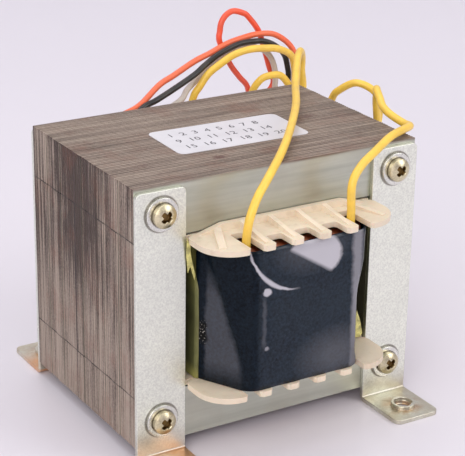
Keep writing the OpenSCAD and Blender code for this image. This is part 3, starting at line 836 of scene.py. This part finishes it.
def film_marks(coords):
    """Masks of the clear film's marks: painted reflections, bright ones at the front and soft ones in
    bands and clouds, a darker and less glossy part at the left, and a scuff. Sizes are millimetres on
    the coil."""
    ragged = grain(coords, 420.0, low=0.2, high=0.8) * 0.9 - 0.45
    place_x, place_y, place_z = split(coords)
    x, y = place_x * 1000.0 + ragged, place_y * 1000.0 + ragged
    z = place_z * 1000.0 + ragged * -0.8
    front = rescale(place_y, -42.5 * MM, -41.5 * MM, 1.0, 0.0)

    def far(centre_x, centre_z, reach_x, reach_z):
        """Distance from a centre, as a share of the two radii."""
        return hypot((x - centre_x) / reach_x, (z - centre_z) / reach_z)

    # The wedge, curl, spot and dot are painted highlights.
    wedge = rescale(x * 0.62 + z, 51.9, 53.2) * rescale(far(*FILM_WEDGE), 0.90, 1.03, 1.0, 0.0)
    fat = rescale(abs(x + 11.5), 0.0, 6.0, 1.0, 0.35)
    curl = rescale(abs(far(*FILM_CURL) - FILM_CURL_R) / fat, 0.35, 0.85, 1.0, 0.0)
    curl = curl * rescale(x, -7.0, -2.5, 1.0, 0.0) * rescale(z, 60.0, 61.0, 1.0, 0.0)
    spot = rescale(far(*FILM_SPOT), 0.75, 1.1, 1.0, 0.0)
    dot = rescale(far(*FILM_DOT), 0.6, 1.2, 0.5, 0.0)
    bright = most(wedge, curl, spot, dot) * front

    # The corner band, the band on the left facet, the crease band and the two clouds are painted
    # reflections.
    corner = rescale(abs(x - 14.7), 0.8, 2.1, 1.0, 0.0) * rescale(z, 24.0, 40.0, 0.6, 1.0)
    corner = corner * rescale(place_y, -36.0 * MM, -38.0 * MM)
    flank = rescale(x, -17.6, -18.6)
    off_fold = z * -FOLD_SLOPE + (y + FOLD_START)
    facet = rescale(off_fold, -0.4, 1.4) * rescale(y, -30.8, -31.6) * flank
    facet = facet * rescale(z, 52.0, 44.0, 0.0, 0.75) * rescale(z, 21.0, 26.0, 0.2, 1.0)
    low_cloud = rescale(far(*FILM_LOW_CLOUD), 0.2, 1.0, 0.13, 0.0) * front
    high_cloud = rescale(far(*FILM_HIGH_CLOUD), 0.3, 1.0, 0.09, 0.0) * front
    crease = rescale(abs(x + 13.0), 0.2, 0.8, 0.10, 0.0) * front
    crease = crease * rescale(z, 30.0, 33.0) * rescale(z, 46.0, 43.0)
    soft = most(corner * 0.46, facet * 0.13, crease, low_cloud, high_cloud)

    # Left of the upright crease and outside the fold the film is darker and less glossy, and a scuffed
    # spot shows bare crepe and crumbs.
    tight = rescale(x, -13.6, -15.4) * (1.0 - facet) * rescale(place_y, 0.0, -1.0 * MM)
    scuff = rescale(abs(z - 33.2), 2.0, 3.6, 1.0, 0.0) * rescale(y, -31.9, -31.2) * flank
    scuff = scuff * rescale(place_y, -27 * MM, -28.5 * MM)
    return bright, soft, tight, scuff


def filmed_crepe(settings):
    """Dark crepe with a clear glossy film over it: the film's gloss is the coat."""
    material, coords = new_material("Filmed crepe", Coat_Roughness=0.05, Coat_IOR=1.42, Roughness=0.8,
                                    Specular_IOR_Level=0.0)
    crinkle = grain(coords, 1300.0, detail=4.0, low=0.32, high=0.68)
    base = shade(settings.crepe, 0.35, 2.2, crinkle)
    base = blend(grain(coords, 85.0, detail=4.0) * 0.35, base, CREPE_CLOUD)
    bright, soft, tight, scuff = film_marks(coords)
    base = shade(base, 1.0, 0.55, tight)
    # The bright and soft marks are painted reflections, mixed into the base colour.
    base = blend(most(bright, soft), base, settings.painted_film_reflection)
    crumbs = scuff * grain(coords, 2200.0, detail=1.0, low=0.60, high=0.70)
    base = blend(scuff, base, BARE_CREPE)
    base = blend(crumbs, base, CRUMBS)
    feed(material, Base_Color=base, Coat_Weight=rescale(tight, 0, 1, 0.52, 0.22) * (1.0 - scuff),
         Normal=bump(crumbs * 4.0 + crinkle, 0.04 * MM, 0.5))
    return material


def crepe_edge(settings):
    """Cut edge of the crepe, without film."""
    return mottled("Crepe edge", settings.crepe, 900.0, 0.6, 2.0, Roughness=0.9, Specular_IOR_Level=0.1)


def yellow_film(settings):
    """Olive film, with painted light near its cut edges and at the coil's ends, where it glows yellow.
    """
    material, coords = new_material("Yellow film", Coat_Weight=0.5, Coat_Roughness=0.1, Roughness=0.5)
    _, y, z = split(coords)
    # The rim, top and foot are painted light, where the film glows.
    rim = rescale(abs(y), FILM_REACH - 1.4 * MM, FILM_REACH - 0.4 * MM) * 0.10
    top = rescale(z, COIL_HIGH.z - 15 * MM, COIL_HIGH.z - 6 * MM, 0.0, 0.35)
    foot = rescale(z, COIL_LOW.z + 1 * MM, COIL_LOW.z + 4 * MM, 0.35, 0.0)
    base = shade(settings.film, 0.7, 1.4, grain(coords, 180.0))
    feed(material, Base_Color=blend(most(top, foot, rim), base, settings.painted_film_glow))
    return material


def film_cut_edge(settings):
    """Cut edge of the yellow film, painted bright as light gathered there."""
    return mottled("Film edge", settings.painted_film_glow, 300.0, 0.55, 1.1, 0.35, 0.65, Roughness=0.4)


def painted_lit_fold(settings):
    """Film folded out into the light: the film's yellow brightened as painted light, with a ragged
    mottle.
    """
    return mottled("Film fold", settings.painted_lit_fold, 900.0, 0.55, 1.1, 0.35, 0.65, Coat_Weight=0.4,
                   Coat_Roughness=0.1, Roughness=0.5)


def enamelled_copper(settings):
    return mottled("Enamelled copper", settings.copper, 500.0, 0.7, 1.15, Metallic=0.9, Coat_Weight=0.6,
                   Coat_Roughness=0.1, Roughness=0.3)


def interlayer_paper():
    return mottled("Interlayer tape", TAPE, 400.0, 0.8, 1.1, Roughness=0.5)


def coil_outline(mesh, settings, share, z, segments=6):
    """Adds one flat face with the coil's outline at a share of its build."""
    side = TUBE_X + (COIL_HIGH.x - TUBE_X) * share
    flank = TUBE_X + (settings.front_w - TUBE_X) * share
    reach = TUBE_Y + (COIL_HIGH.y - TUBE_Y) * share
    corner_r = settings.inner_corner_r + (settings.outer_corner_r - settings.inner_corner_r) * share
    quarter = ((side, TURN_Y), (flank, reach))
    ring = [(x, y, z) for x, y in quarter] + [(-x, y, z) for x, y in quarter[::-1]]
    ring += [(-x, -y, z) for x, y in quarter] + [(x, -y, z) for x, y in quarter[::-1]]
    verts = [mesh.verts.new(p) for p in ring]
    mesh.faces.new(verts)
    slant = math.atan2(side - flank, reach - TURN_Y)
    cut = corner_r * math.tan((math.pi / 2 - slant) / 2)
    corners = [v for v in verts if abs(v.co.y) > TURN_Y + 0.1 * MM]
    bmesh.ops.bevel(mesh, geom=corners, offset=cut, affect="VERTICES", segments=segments,
                    profile=0.5, material=-1)


def make_wrap(settings, material, rim_material):
    """The crepe and film round the coil, drawn tight with shallow waves."""
    mesh = bmesh.new()
    coil_outline(mesh, settings, 1.0, COIL_LOW.z)
    raise_faces(mesh, mesh.faces[:], COIL_TALL)
    caps = [f for f in mesh.faces if abs(f.normal.z) > 0.7]
    bmesh.ops.delete(mesh, geom=caps, context="FACES_ONLY")
    cut_upright(mesh, WRAP_CUTS)
    for _ in range(2):
        wide = [e for e in mesh.edges if climb(e) < MERGE and e.calc_length() > 3 * MM]
        bmesh.ops.subdivide_edges(mesh, edges=wide, cuts=3, use_grid_fill=True)
    bmesh.ops.recalc_face_normals(mesh, faces=mesh.faces)
    mesh.normal_update()
    normals = {v: v.normal.copy() for v in mesh.verts}
    for v in mesh.verts:
        high = (v.co.z - COIL_LOW.z) / COIL_TALL
        free = max(0.0, 1 - (2 * high - 1) ** 6)
        wave = noise.noise(Vector((v.co.x * 70, v.co.y * 70, v.co.z * 45)))
        ripple = noise.noise(Vector((v.co.x * 210 + 9, v.co.y * 210, v.co.z * 120)))
        sink = (0.15 * (wave - 0.5) + 0.07 * (ripple - 0.5)) * MM * free
        v.co += normals[v] * min(sink, 0.0)
        if v.co.y < CORE_FRONT:
            v.co += film_slack(v.co / MM, high) * MM
    piece = new_piece("outer_wrap_film", mesh, material, sharp=math.radians(80))
    piece.data.materials.append(rim_material)
    wall = piece.modifiers.new("Wall", "SOLIDIFY")
    wall.thickness = settings.wrap_t
    wall.offset = -1
    wall.material_offset_rim = 1
    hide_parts("outer_wrap")


def ease(value, low, high):
    """0 at low, 1 at high, smooth between."""
    share = min(1.0, max(0.0, (value - low) / (high - low)))
    return share * share * (3 - 2 * share)


def film_slack(place, high):
    """How far the front of the wrap gives way, in millimetres: it narrows below at the right, leans
    back at the top, and has one upright crease and one slanting fold at the left."""
    shift = Vector((0, 0, 0))
    narrow = 1.2 + 0.5 * ease(high, 0.0, 0.10)
    shift.x -= narrow * ease(place.x, 8, 17) * (1 - ease(high, 0.50, 0.80))
    shift.y += 0.8 * ease(high, 0.72, 1.0) * (1 - ease(abs(place.x), 13, 17))
    crease = max(0.0, 1 - abs(place.x + 13.6) / 1.6)
    crease = crease * ease(high, 0.12, 0.3) * (1 - ease(high, 0.78, 0.9))
    shift.y += 0.45 * crease * ease(-place.y, 40, 43)
    off_fold = place.y + FOLD_START - FOLD_SLOPE * place.z
    if place.x < -16:
        ridge = ease(off_fold, -1.2, 0.6) * (1 - ease(off_fold, 1.2, 6))
        shift.x += 0.5 * ridge * ease(high, 0.02, 0.2)
    return shift


def make_side_film(node, settings, material, edge_material):
    """A side film whose front and rear edges wander and draw back near the top."""
    mesh = merged_copy(node)
    cut_upright(mesh, SIDE_FILM_CUTS)
    lean = (COIL_HIGH.x - settings.front_w) / (COIL_HIGH.y - TURN_Y)
    for v in mesh.verts:
        if abs(v.co.y) > TURN_Y + 0.2 * MM:
            high = (v.co.z - COIL_LOW.z) / COIL_TALL
            wander = noise.noise(Vector((v.co.y, 0, v.co.z * 110)))
            back = 3.4 * ease(high, 0.62, 0.97) + 0.35 * (1 + wander)
            reach = abs(v.co.y) - back * MM
            kept = (abs(v.co.y) - max(reach, TURN_Y)) * lean
            v.co.y = math.copysign(reach, v.co.y)
            v.co.x += math.copysign(kept, v.co.x)
    mesh.normal_update()
    for face in mesh.faces:
        at_end = abs(face.calc_center_median().y) > TURN_Y + 2 * MM
        face.material_index = int(at_end and abs(face.normal.y) > 0.8)
    piece = new_piece(f"{node}_sheet", mesh, material)
    piece.data.materials.append(edge_material)
    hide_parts(node)


def make_film_flap(name, outline, lean, material):
    """A torn end of the yellow film, folded out in front of the core. The outline is in millimetres."""
    mesh = bmesh.new()
    foot = min(z for _, z in outline)
    face = mesh.faces.new([mesh.verts.new(Vector((x, FLAP_FOOT_Y - lean * (z - foot), z)) * MM)
                           for x, z in outline])
    bmesh.ops.triangulate(mesh, faces=[face])
    bmesh.ops.subdivide_edges(mesh, edges=mesh.edges[:], cuts=3, use_grid_fill=True)
    for v in mesh.verts:
        v.co.x += 0.14 * MM * noise.noise(v.co * 900)
        v.co.y += 0.30 * MM * noise.noise(v.co * 320)
    bmesh.ops.recalc_face_normals(mesh, faces=mesh.faces)
    bmesh.ops.solidify(mesh, geom=mesh.faces[:], thickness=FLAP_T)
    new_piece(name, mesh, material)


def make_hidden_turns(settings, material):
    """The body of the secondary, which the wrap hides. It is slimmer than the winding and has the dark
    crepe colour in place of copper, as painted shade, so that nothing of it shows or cuts into the wrap
    where the film gives way."""
    mesh = bmesh.new()
    for share in (BODY_END, SECONDARY_SPAN[0]):
        coil_outline(mesh, settings, share, PRIMARY_LOW.z, segments=3)
    outer, inner = sorted(mesh.faces, key=lambda f: f.calc_area(), reverse=True)
    rims = [e for f in (outer, inner) for e in f.edges]
    bmesh.ops.delete(mesh, geom=[outer, inner], context="FACES_ONLY")
    grown = bmesh.ops.bridge_loops(mesh, edges=rims)
    raise_faces(mesh, grown["faces"], PRIMARY_HIGH.z - PRIMARY_LOW.z)
    bmesh.ops.recalc_face_normals(mesh, faces=mesh.faces)
    piece = new_piece("secondary_body", mesh, material)
    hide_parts("secondary_winding")


def make_turns(name, settings, span, first, wire_d, material):
    """A winding's end turns, which show through the comb's slots."""
    mesh = bmesh.new()
    pitch = wire_d * TURN_PITCH / (COIL_HIGH.y - TUBE_Y)
    for turn in range(int((span[1] - span[0]) / pitch)):
        for z in (PRIMARY_HIGH.z - wire_d * 0.15, PRIMARY_LOW.z + wire_d * 0.15):
            flat = bmesh.new()
            coil_outline(flat, settings, span[0] + pitch * (turn + first), z, segments=4)
            face = max(flat.faces, key=lambda f: f.calc_area())
            points = [v.co.copy() for v in face.verts]
            flat.free()
            add_tube(mesh, points, wire_d / 2, closed=True)
    new_piece(name, mesh, material)


class TRANSFORMER_OT_bobbin(bpy.types.Operator):
    """Make the bobbin moulding with its eased edges"""

    bl_idname = "transformer.bobbin"
    bl_label = "Bobbin"

    def execute(self, context):
        nylon = bobbin_nylon(context.scene.transformer_coil)
        soft_copy("bobbin_moulding", "bobbin", BOBBIN_EDGE_R, nylon)
        return {"FINISHED"}


class TRANSFORMER_OT_coil(bpy.types.Operator):
    """Make the wrapped coil: windings, tape, crepe, film and side films"""

    bl_idname = "transformer.coil"
    bl_label = "Coil"

    def execute(self, context):
        settings = context.scene.transformer_coil
        copper = enamelled_copper(settings)
        paint("primary_winding", copper)
        dark_crepe = crepe_edge(settings)
        make_hidden_turns(settings, dark_crepe)
        paint("interlayer_tape", interlayer_paper())
        film = yellow_film(settings)
        cut = film_cut_edge(settings)
        make_side_film("side_film_left", settings, film, cut)
        make_side_film("side_film_right", settings, film, cut)
        fold = painted_lit_fold(settings)
        make_film_flap("film_flap_left", FLAP_LEFT, FLAP_LEAN_LEFT, fold)
        make_film_flap("film_flap_right", FLAP_RIGHT, FLAP_LEAN_RIGHT, fold)
        make_wrap(settings, filmed_crepe(settings), dark_crepe)
        make_turns("primary_end_turns", settings, PRIMARY_SPAN, PRIMARY_FIRST,
                   settings.thin_wire_d, copper)
        make_turns("secondary_end_turns", settings, SECONDARY_SPAN, SECONDARY_FIRST,
                   settings.thick_wire_d, copper)
        return {"FINISHED"}


# ---------- brackets and screws ----------

# Tints of spots, rust and dirt on the plated parts, of the dirt and painted shade round the screws, and
# of the cross recesses.
ZINC_SPOTS = (0.30, 0.25, 0.18)
HOLE_RUST = (0.52, 0.30, 0.14)
BEND_RUST = (0.80, 0.44, 0.23)
WASHER_DIRT_AND_SHADE = (0.12, 0.09, 0.07)
HEAD_DIRT_AND_SHADE = (0.10, 0.08, 0.06)
SCREW_STAIN = (0.36, 0.30, 0.17)
RECESS_BROWN = (0.17, 0.105, 0.038)

# Bracket finishes: name, tarnish on the foot, how much of it, and how much rust by the bend.
PLAIN_SHEET = ("Zinc sheet", (0.50, 0.44, 0.32), 0.58, 0.0)
TANNED_SHEET = ("Tanned zinc sheet", (0.62, 0.55, 0.46), 0.60, 0.9)
RUSTED_SHEET = ("Rusted zinc sheet", (0.62, 0.53, 0.38), 0.60, 1.0)

# Heights just above a foot's sheet, and where the tarnish on it ends.
SHEET_TOP, TARNISH_TOP = 1.3 * MM, 8 * MM

# The M6 thread in the feet: its pitch, where it starts, how far it runs, and its ridge's radius. Then
# the pitch of the screws' M3 thread and its ridge's radius.
FOOT_PITCH, FOOT_START, FOOT_DEPTH, FOOT_RIDGE = 1.0 * MM, 0.25 * MM, 1.9 * MM, 0.22 * MM
SCREW_PITCH, SCREW_RIDGE = 0.5 * MM, 0.12 * MM


def plated_zinc(name, colour, rough, speckle=0.5):
    """Satin zinc with a fine spangle. Gives the material, its coordinates, and its base colour, which
    is still to be fed."""
    material, coords = new_material(name, Metallic=1.0)
    spangle = grain(coords, 2300.0, detail=2.0, low=0.36, high=0.64)
    cloud = grain(coords, 110.0, detail=4.0)
    scratch = grain(coords, 900.0, stretch=(1.0, 1.0, 0.04), low=0.62, high=0.75)
    base = shade(colour, 1 - 0.3 * speckle, 1.05, spangle)
    base = shade(base, 0.93, 1.03, cloud)
    base = blend(stains(coords, 900.0, 0.27, 0.02) * (0.5 * speckle), base, ZINC_SPOTS)
    rough_map = rescale(weigh((cloud, 0.6), (spangle, 0.4)), 0, 1, rough - 0.06, rough + 0.1)
    feed(material, Roughness=rough_map,
         Normal=bump(weigh((spangle, 0.5), (scratch, 0.5)), 0.03 * MM, 0.5))
    return material, coords, base


def zinc_sheet(settings, name, foot_tint, cover, bend_rust):
    """Bracket sheet: clean above, tarnished on the foot, and rusty round its hole and by its bend."""
    material, coords, base = plated_zinc(name, settings.zinc, 0.40)
    x, y, z = split(coords)
    low = rescale(z, 2.5 * MM, TARNISH_TOP, 1.0, 0.0)
    base = blend(low * stains(coords, 130.0, cover, 0.2) * 0.75, base, foot_tint)
    flat = rescale(z, SHEET_TOP, SHEET_TOP + 0.2 * MM, 1.0, 0.0)
    off_hole = hypot(abs(x) - HOLE_X, abs(y) - HOLE_Y)
    rust = rescale(off_hole, HOLE_R, HOLE_R + 4 * MM, 1.0, 0.0) * low * flat
    base = blend(rust * stains(coords, 260.0, 0.5, 0.12) * 0.8, base, HOLE_RUST)
    by_bend = rescale(abs(y), 34 * MM, 42 * MM, bend_rust, 0.0) * flat
    base = blend(by_bend * stains(coords, 90.0, 0.62, 0.22), base, BEND_RUST)
    # A dark ring round each washer: dirt and painted contact shade.
    dirt_and_shade = dirt_and_shade_ring(coords, settings.washer_r + 0.2 * MM, 0.4 * MM)
    feed(material, Base_Color=blend(dirt_and_shade * 0.7, base, WASHER_DIRT_AND_SHADE))
    return material


def off_screw(coords):
    """Squared distance from the nearest clamp screw's axis, and the Y position."""
    x, y, z = split(coords)
    middle, half = sum(SCREW_HEIGHTS) / 2, (SCREW_HEIGHTS[1] - SCREW_HEIGHTS[0]) / 2
    off_x = abs(x) - HOLE_X
    off_z = abs(z - middle) - half
    return off_x * off_x + off_z * off_z, y


def dirt_and_shade_ring(coords, radius, width):
    """Dark ring round every clamp screw: dirt and painted contact shade."""
    off, _ = off_screw(coords)
    return rescale(abs(maths("SQRT", off) - radius), 0.2 * width, width, 1.0, 0.0)


def washer_zinc(settings):
    """Bright zinc, dark where the screw head meets the washer: dirt and painted contact shade."""
    material, coords, base = plated_zinc("Bright zinc", settings.bright_zinc, 0.26, speckle=0.4)
    dirt_and_shade = dirt_and_shade_ring(coords, settings.head_r, 0.45 * MM)
    feed(material, Base_Color=blend(dirt_and_shade * 0.85, base, HEAD_DIRT_AND_SHADE))
    return material


def screw_zinc(settings):
    """Yellow zinc, darker brown inside the cross recess."""
    material, coords, base = plated_zinc("Yellow zinc", settings.yellow_zinc, 0.30)
    off, y = off_screw(coords)
    inside = off * (-1 / (2 * settings.head_dome_r)) + (y - HEAD_FRONT)
    recess = rescale(inside, 0.10 * MM, 0.5 * MM)
    recess = recess * rescale(off, (2.4 * MM) ** 2, (2.7 * MM) ** 2, 1.0, 0.0)
    base = blend(stains(coords, 420.0, 0.40, 0.12) * 0.45, base, SCREW_STAIN)
    feed(material, Base_Color=blend(recess, base, RECESS_BROWN))
    return material


class TRANSFORMER_OT_brackets(bpy.types.Operator):
    """Make the four folded brackets and the threads in their feet"""

    bl_idname = "transformer.brackets"
    bl_label = "Brackets"

    def execute(self, context):
        settings = context.scene.transformer_hardware
        plain, tanned, rusted = (zinc_sheet(settings, *row)
                                 for row in (PLAIN_SHEET, TANNED_SHEET, RUSTED_SHEET))
        finishes = {"front_right": plain, "front_left": tanned, "rear_left": rusted, "rear_right": plain}
        threads = bmesh.new()
        for corner, finish in finishes.items():
            end, side = corner.split("_")
            soft_copy(f"{corner}_sheet", f"bracket_{corner}", settings.edge_r, finish)
            hole = Vector((-HOLE_X if side == "left" else HOLE_X,
                           -HOLE_Y if end == "front" else HOLE_Y, FOOT_START))
            turns = helix(hole, "Z", HOLE_R, FOOT_PITCH, FOOT_DEPTH)
            add_tube(threads, turns, FOOT_RIDGE, sides=4)
        new_piece("foot_threads", threads, plain)
        return {"FINISHED"}


class TRANSFORMER_OT_fasteners(bpy.types.Operator):
    """Make the clamp screws, washers and nuts"""

    bl_idname = "transformer.fasteners"
    bl_label = "Fasteners"

    def execute(self, context):
        settings = context.scene.transformer_hardware
        yellow = screw_zinc(settings)
        bright = washer_zinc(settings)
        soft_copy("clamp_screw_set", "clamp_screws", settings.small_edge_r, yellow)
        for node in ("front_washers", "rear_washers", "spring_washers", "nuts"):
            soft_copy(f"{node}_set", node, settings.small_edge_r, bright)
        threads = bmesh.new()
        for x in (-HOLE_X, HOLE_X):
            for z in SCREW_HEIGHTS:
                turns = helix((x, NUT_END, z), "Y", settings.thread_r, SCREW_PITCH,
                              SCREW_END - NUT_END - 0.25 * MM)
                add_tube(threads, turns, SCREW_RIDGE, sides=4)
        new_piece("screw_threads", threads, yellow)
        return {"FINISHED"}


# ---------- label ----------

# Even rows of counting numbers, as stand-ins for print. Sizes are in millimetres on the label.
LABEL_ROWS = ("1  2  3  4  5  6  7  8", "9  10  11  12  13  14", "15  16  17  18  19  20")
LABEL_CAP, LABEL_PITCH, LABEL_MARGIN = 2.4, 5.0, 4.0
LABEL_TURN = math.radians(-1.5)

# Half the thickness of the print, and the height of its middle above the label, in millimetres.
PRINT_HALF, PRINT_LIFT = 0.003, 0.006

# Tints of the label.
PAPER = (0.70, 0.69, 0.725)
INK = (0.035, 0.033, 0.040)


def label_paper():
    material, coords = new_material("Label paper", Coat_Weight=0.3, Coat_Roughness=0.2)
    cloud = grain(coords, 90.0, detail=4.0)
    feed(material, Base_Color=shade(PAPER, 0.92, 1.04, cloud),
         Roughness=rescale(cloud, 0, 1, 0.4, 0.55), Normal=bump(grain(coords, 2200.0), 0.01 * MM, 0.4))
    return material


def label_ink():
    return mottled("Label ink", INK, 2400.0, 3.0, 0.8, 0.2, 0.6, Roughness=0.6)


class TRANSFORMER_OT_label(bpy.types.Operator):
    """Finish the label and print plain numbers on it"""

    bl_idname = "transformer.label"
    bl_label = "Label"

    def execute(self, context):
        paint("label", label_paper())
        centre = (LABEL_LOW + LABEL_HIGH) / 2
        turned = Matrix.Rotation(LABEL_TURN, 4, "Z")
        place = Matrix.Translation((centre.x, centre.y, LABEL_HIGH.z)) @ turned
        left = LABEL_MARGIN * MM - (LABEL_HIGH.x - LABEL_LOW.x) / 2
        print_mesh = bmesh.new()
        for row, text in enumerate(LABEL_ROWS):
            curve = bpy.data.curves.new("row", "FONT")
            curve.body = text
            curve.extrude = PRINT_HALF
            curve.resolution_u = 2
            flat = baked(curve)
            size = LABEL_CAP * MM / max(v.co.y for v in flat.vertices)
            flat.transform(Matrix.Diagonal((size, size, MM, 1)))
            foot = (1 - row) * LABEL_PITCH - LABEL_CAP / 2
            flat.transform(place @ Matrix.Translation((left, foot * MM, PRINT_LIFT * MM)))
            print_mesh.from_mesh(flat)
            bpy.data.meshes.remove(flat)
        new_piece("label_print", print_mesh, label_ink(), smooth=False)
        return {"FINISHED"}


# ---------- stage ----------

# Softboxes: name, which is also that of the power's setting, place and size in metres, and colour.
SOFTBOXES = (
    ("key", (0.85, -0.95, 0.75), 0.7, (1, 0.98, 0.96)),
    ("fill", (-1.0, -0.9, 0.75), 1.1, (1, 0.95, 0.92)),
    ("top", (-0.1, 0.25, 1.3), 0.9, (0.97, 0.98, 1)),
)
LIGHT_TARGET = Vector((0, 0, 0.04))
SKY_COLOUR = (0.97, 0.96, 0.97, 1)
FLOOR_R, BACKDROP_H = 3.0, 2.0


def stage_floor_material(settings):
    return mottled("Studio floor", settings.floor, 3.0, 0.99, 1.01, Roughness=0.32, IOR=1.35)


def softbox(name, place, size, power, colour):
    """A square light that looks at the object."""
    data = bpy.data.lights.new(name, "AREA")
    data.size = size
    data.energy = power
    data.color = colour
    light = bpy.data.objects.new(name, data)
    light.location = place
    light.rotation_euler = (LIGHT_TARGET - Vector(place)).to_track_quat("-Z", "Y").to_euler()
    bpy.context.scene.collection.objects.link(light)


def view_axes(azimuth, elevation, roll):
    """The camera's right, up and forward directions. Azimuth 0 looks along +Y."""
    forward = Vector((-math.sin(azimuth) * math.cos(elevation),
                      math.cos(azimuth) * math.cos(elevation), -math.sin(elevation)))
    right = forward.cross(Vector((0, 0, 1))).normalized()
    up = right.cross(forward)
    level = Matrix.Rotation(-roll, 3, forward)
    return level @ right, level @ up, forward


class TRANSFORMER_OT_camera(bpy.types.Operator):
    """Set up the camera"""

    bl_idname = "transformer.camera"
    bl_label = "Camera"

    def execute(self, context):
        settings = context.scene.transformer_stage
        right, up, forward = view_axes(settings.azimuth, settings.elevation, settings.roll)
        data = bpy.data.cameras.new("camera")
        data.lens = settings.lens
        data.sensor_width = 36
        data.clip_start = 0.02
        data.clip_end = 50
        camera = bpy.data.objects.new("camera", data)
        turned = Matrix((right, up, -forward)).transposed().to_4x4()
        place = Vector(settings.target) - forward * settings.distance
        camera.matrix_world = Matrix.Translation(place) @ turned
        context.scene.collection.objects.link(camera)
        context.scene.camera = camera
        return {"FINISHED"}


class TRANSFORMER_OT_stage(bpy.types.Operator):
    """Make the floor, backdrop and soft lights"""

    bl_idname = "transformer.stage"
    bl_label = "Stage"

    def execute(self, context):
        settings = context.scene.transformer_stage
        mesh = bmesh.new()
        bmesh.ops.create_circle(mesh, cap_ends=True, radius=FLOOR_R, segments=64)
        raised = raise_faces(mesh, mesh.faces[:], BACKDROP_H)
        lid = [f for f in raised if isinstance(f, bmesh.types.BMFace)]
        bmesh.ops.delete(mesh, geom=lid, context="FACES_ONLY")
        data = bpy.data.meshes.new("floor")
        mesh.to_mesh(data)
        mesh.free()
        data.materials.append(stage_floor_material(settings))
        floor = bpy.data.objects.new("floor", data)
        context.scene.collection.objects.link(floor)

        for name, place, size, colour in SOFTBOXES:
            softbox(f"{name} softbox", place, size, getattr(settings, name), colour)

        world = bpy.data.worlds.new("Studio")
        world.use_nodes = True
        back = world.node_tree.nodes["Background"]
        back.inputs["Color"].default_value = SKY_COLOUR
        back.inputs["Strength"].default_value = settings.sky
        context.scene.world = world
        context.scene.view_settings.view_transform = "Standard"
        return {"FINISHED"}


class TRANSFORMER_PT_panel(bpy.types.Panel):
    """Buttons for every piece of the transformer"""

    bl_label = "Transformer"
    bl_space_type = "VIEW_3D"
    bl_region_type = "UI"
    bl_category = "Transformer"

    def draw(self, context):
        for step in STEPS:
            self.layout.operator(f"transformer.{step}")


STEPS = ("camera", "leads", "core", "bobbin", "coil", "brackets", "fasteners", "label", "stage")
SETTINGS = {"leads": LeadSettings, "core": CoreSettings, "coil": CoilSettings,
            "hardware": HardwareSettings, "stage": StageSettings}
OPERATORS = (TRANSFORMER_OT_camera, TRANSFORMER_OT_leads, TRANSFORMER_OT_core, TRANSFORMER_OT_bobbin,
             TRANSFORMER_OT_coil, TRANSFORMER_OT_brackets, TRANSFORMER_OT_fasteners,
             TRANSFORMER_OT_label, TRANSFORMER_OT_stage)


def register():
    for kind in (*SETTINGS.values(), *OPERATORS, TRANSFORMER_PT_panel):
        bpy.utils.register_class(kind)
    for name, kind in SETTINGS.items():
        setattr(bpy.types.Scene, f"transformer_{name}", PointerProperty(type=kind))


def unregister():
    for name in SETTINGS:
        delattr(bpy.types.Scene, f"transformer_{name}")
    for kind in (TRANSFORMER_PT_panel, *OPERATORS, *SETTINGS.values()):
        bpy.utils.unregister_class(kind)


def main():
    register()
    for step in STEPS:
        getattr(bpy.ops.transformer, step)()
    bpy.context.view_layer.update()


if __name__ == "__main__":
    main()
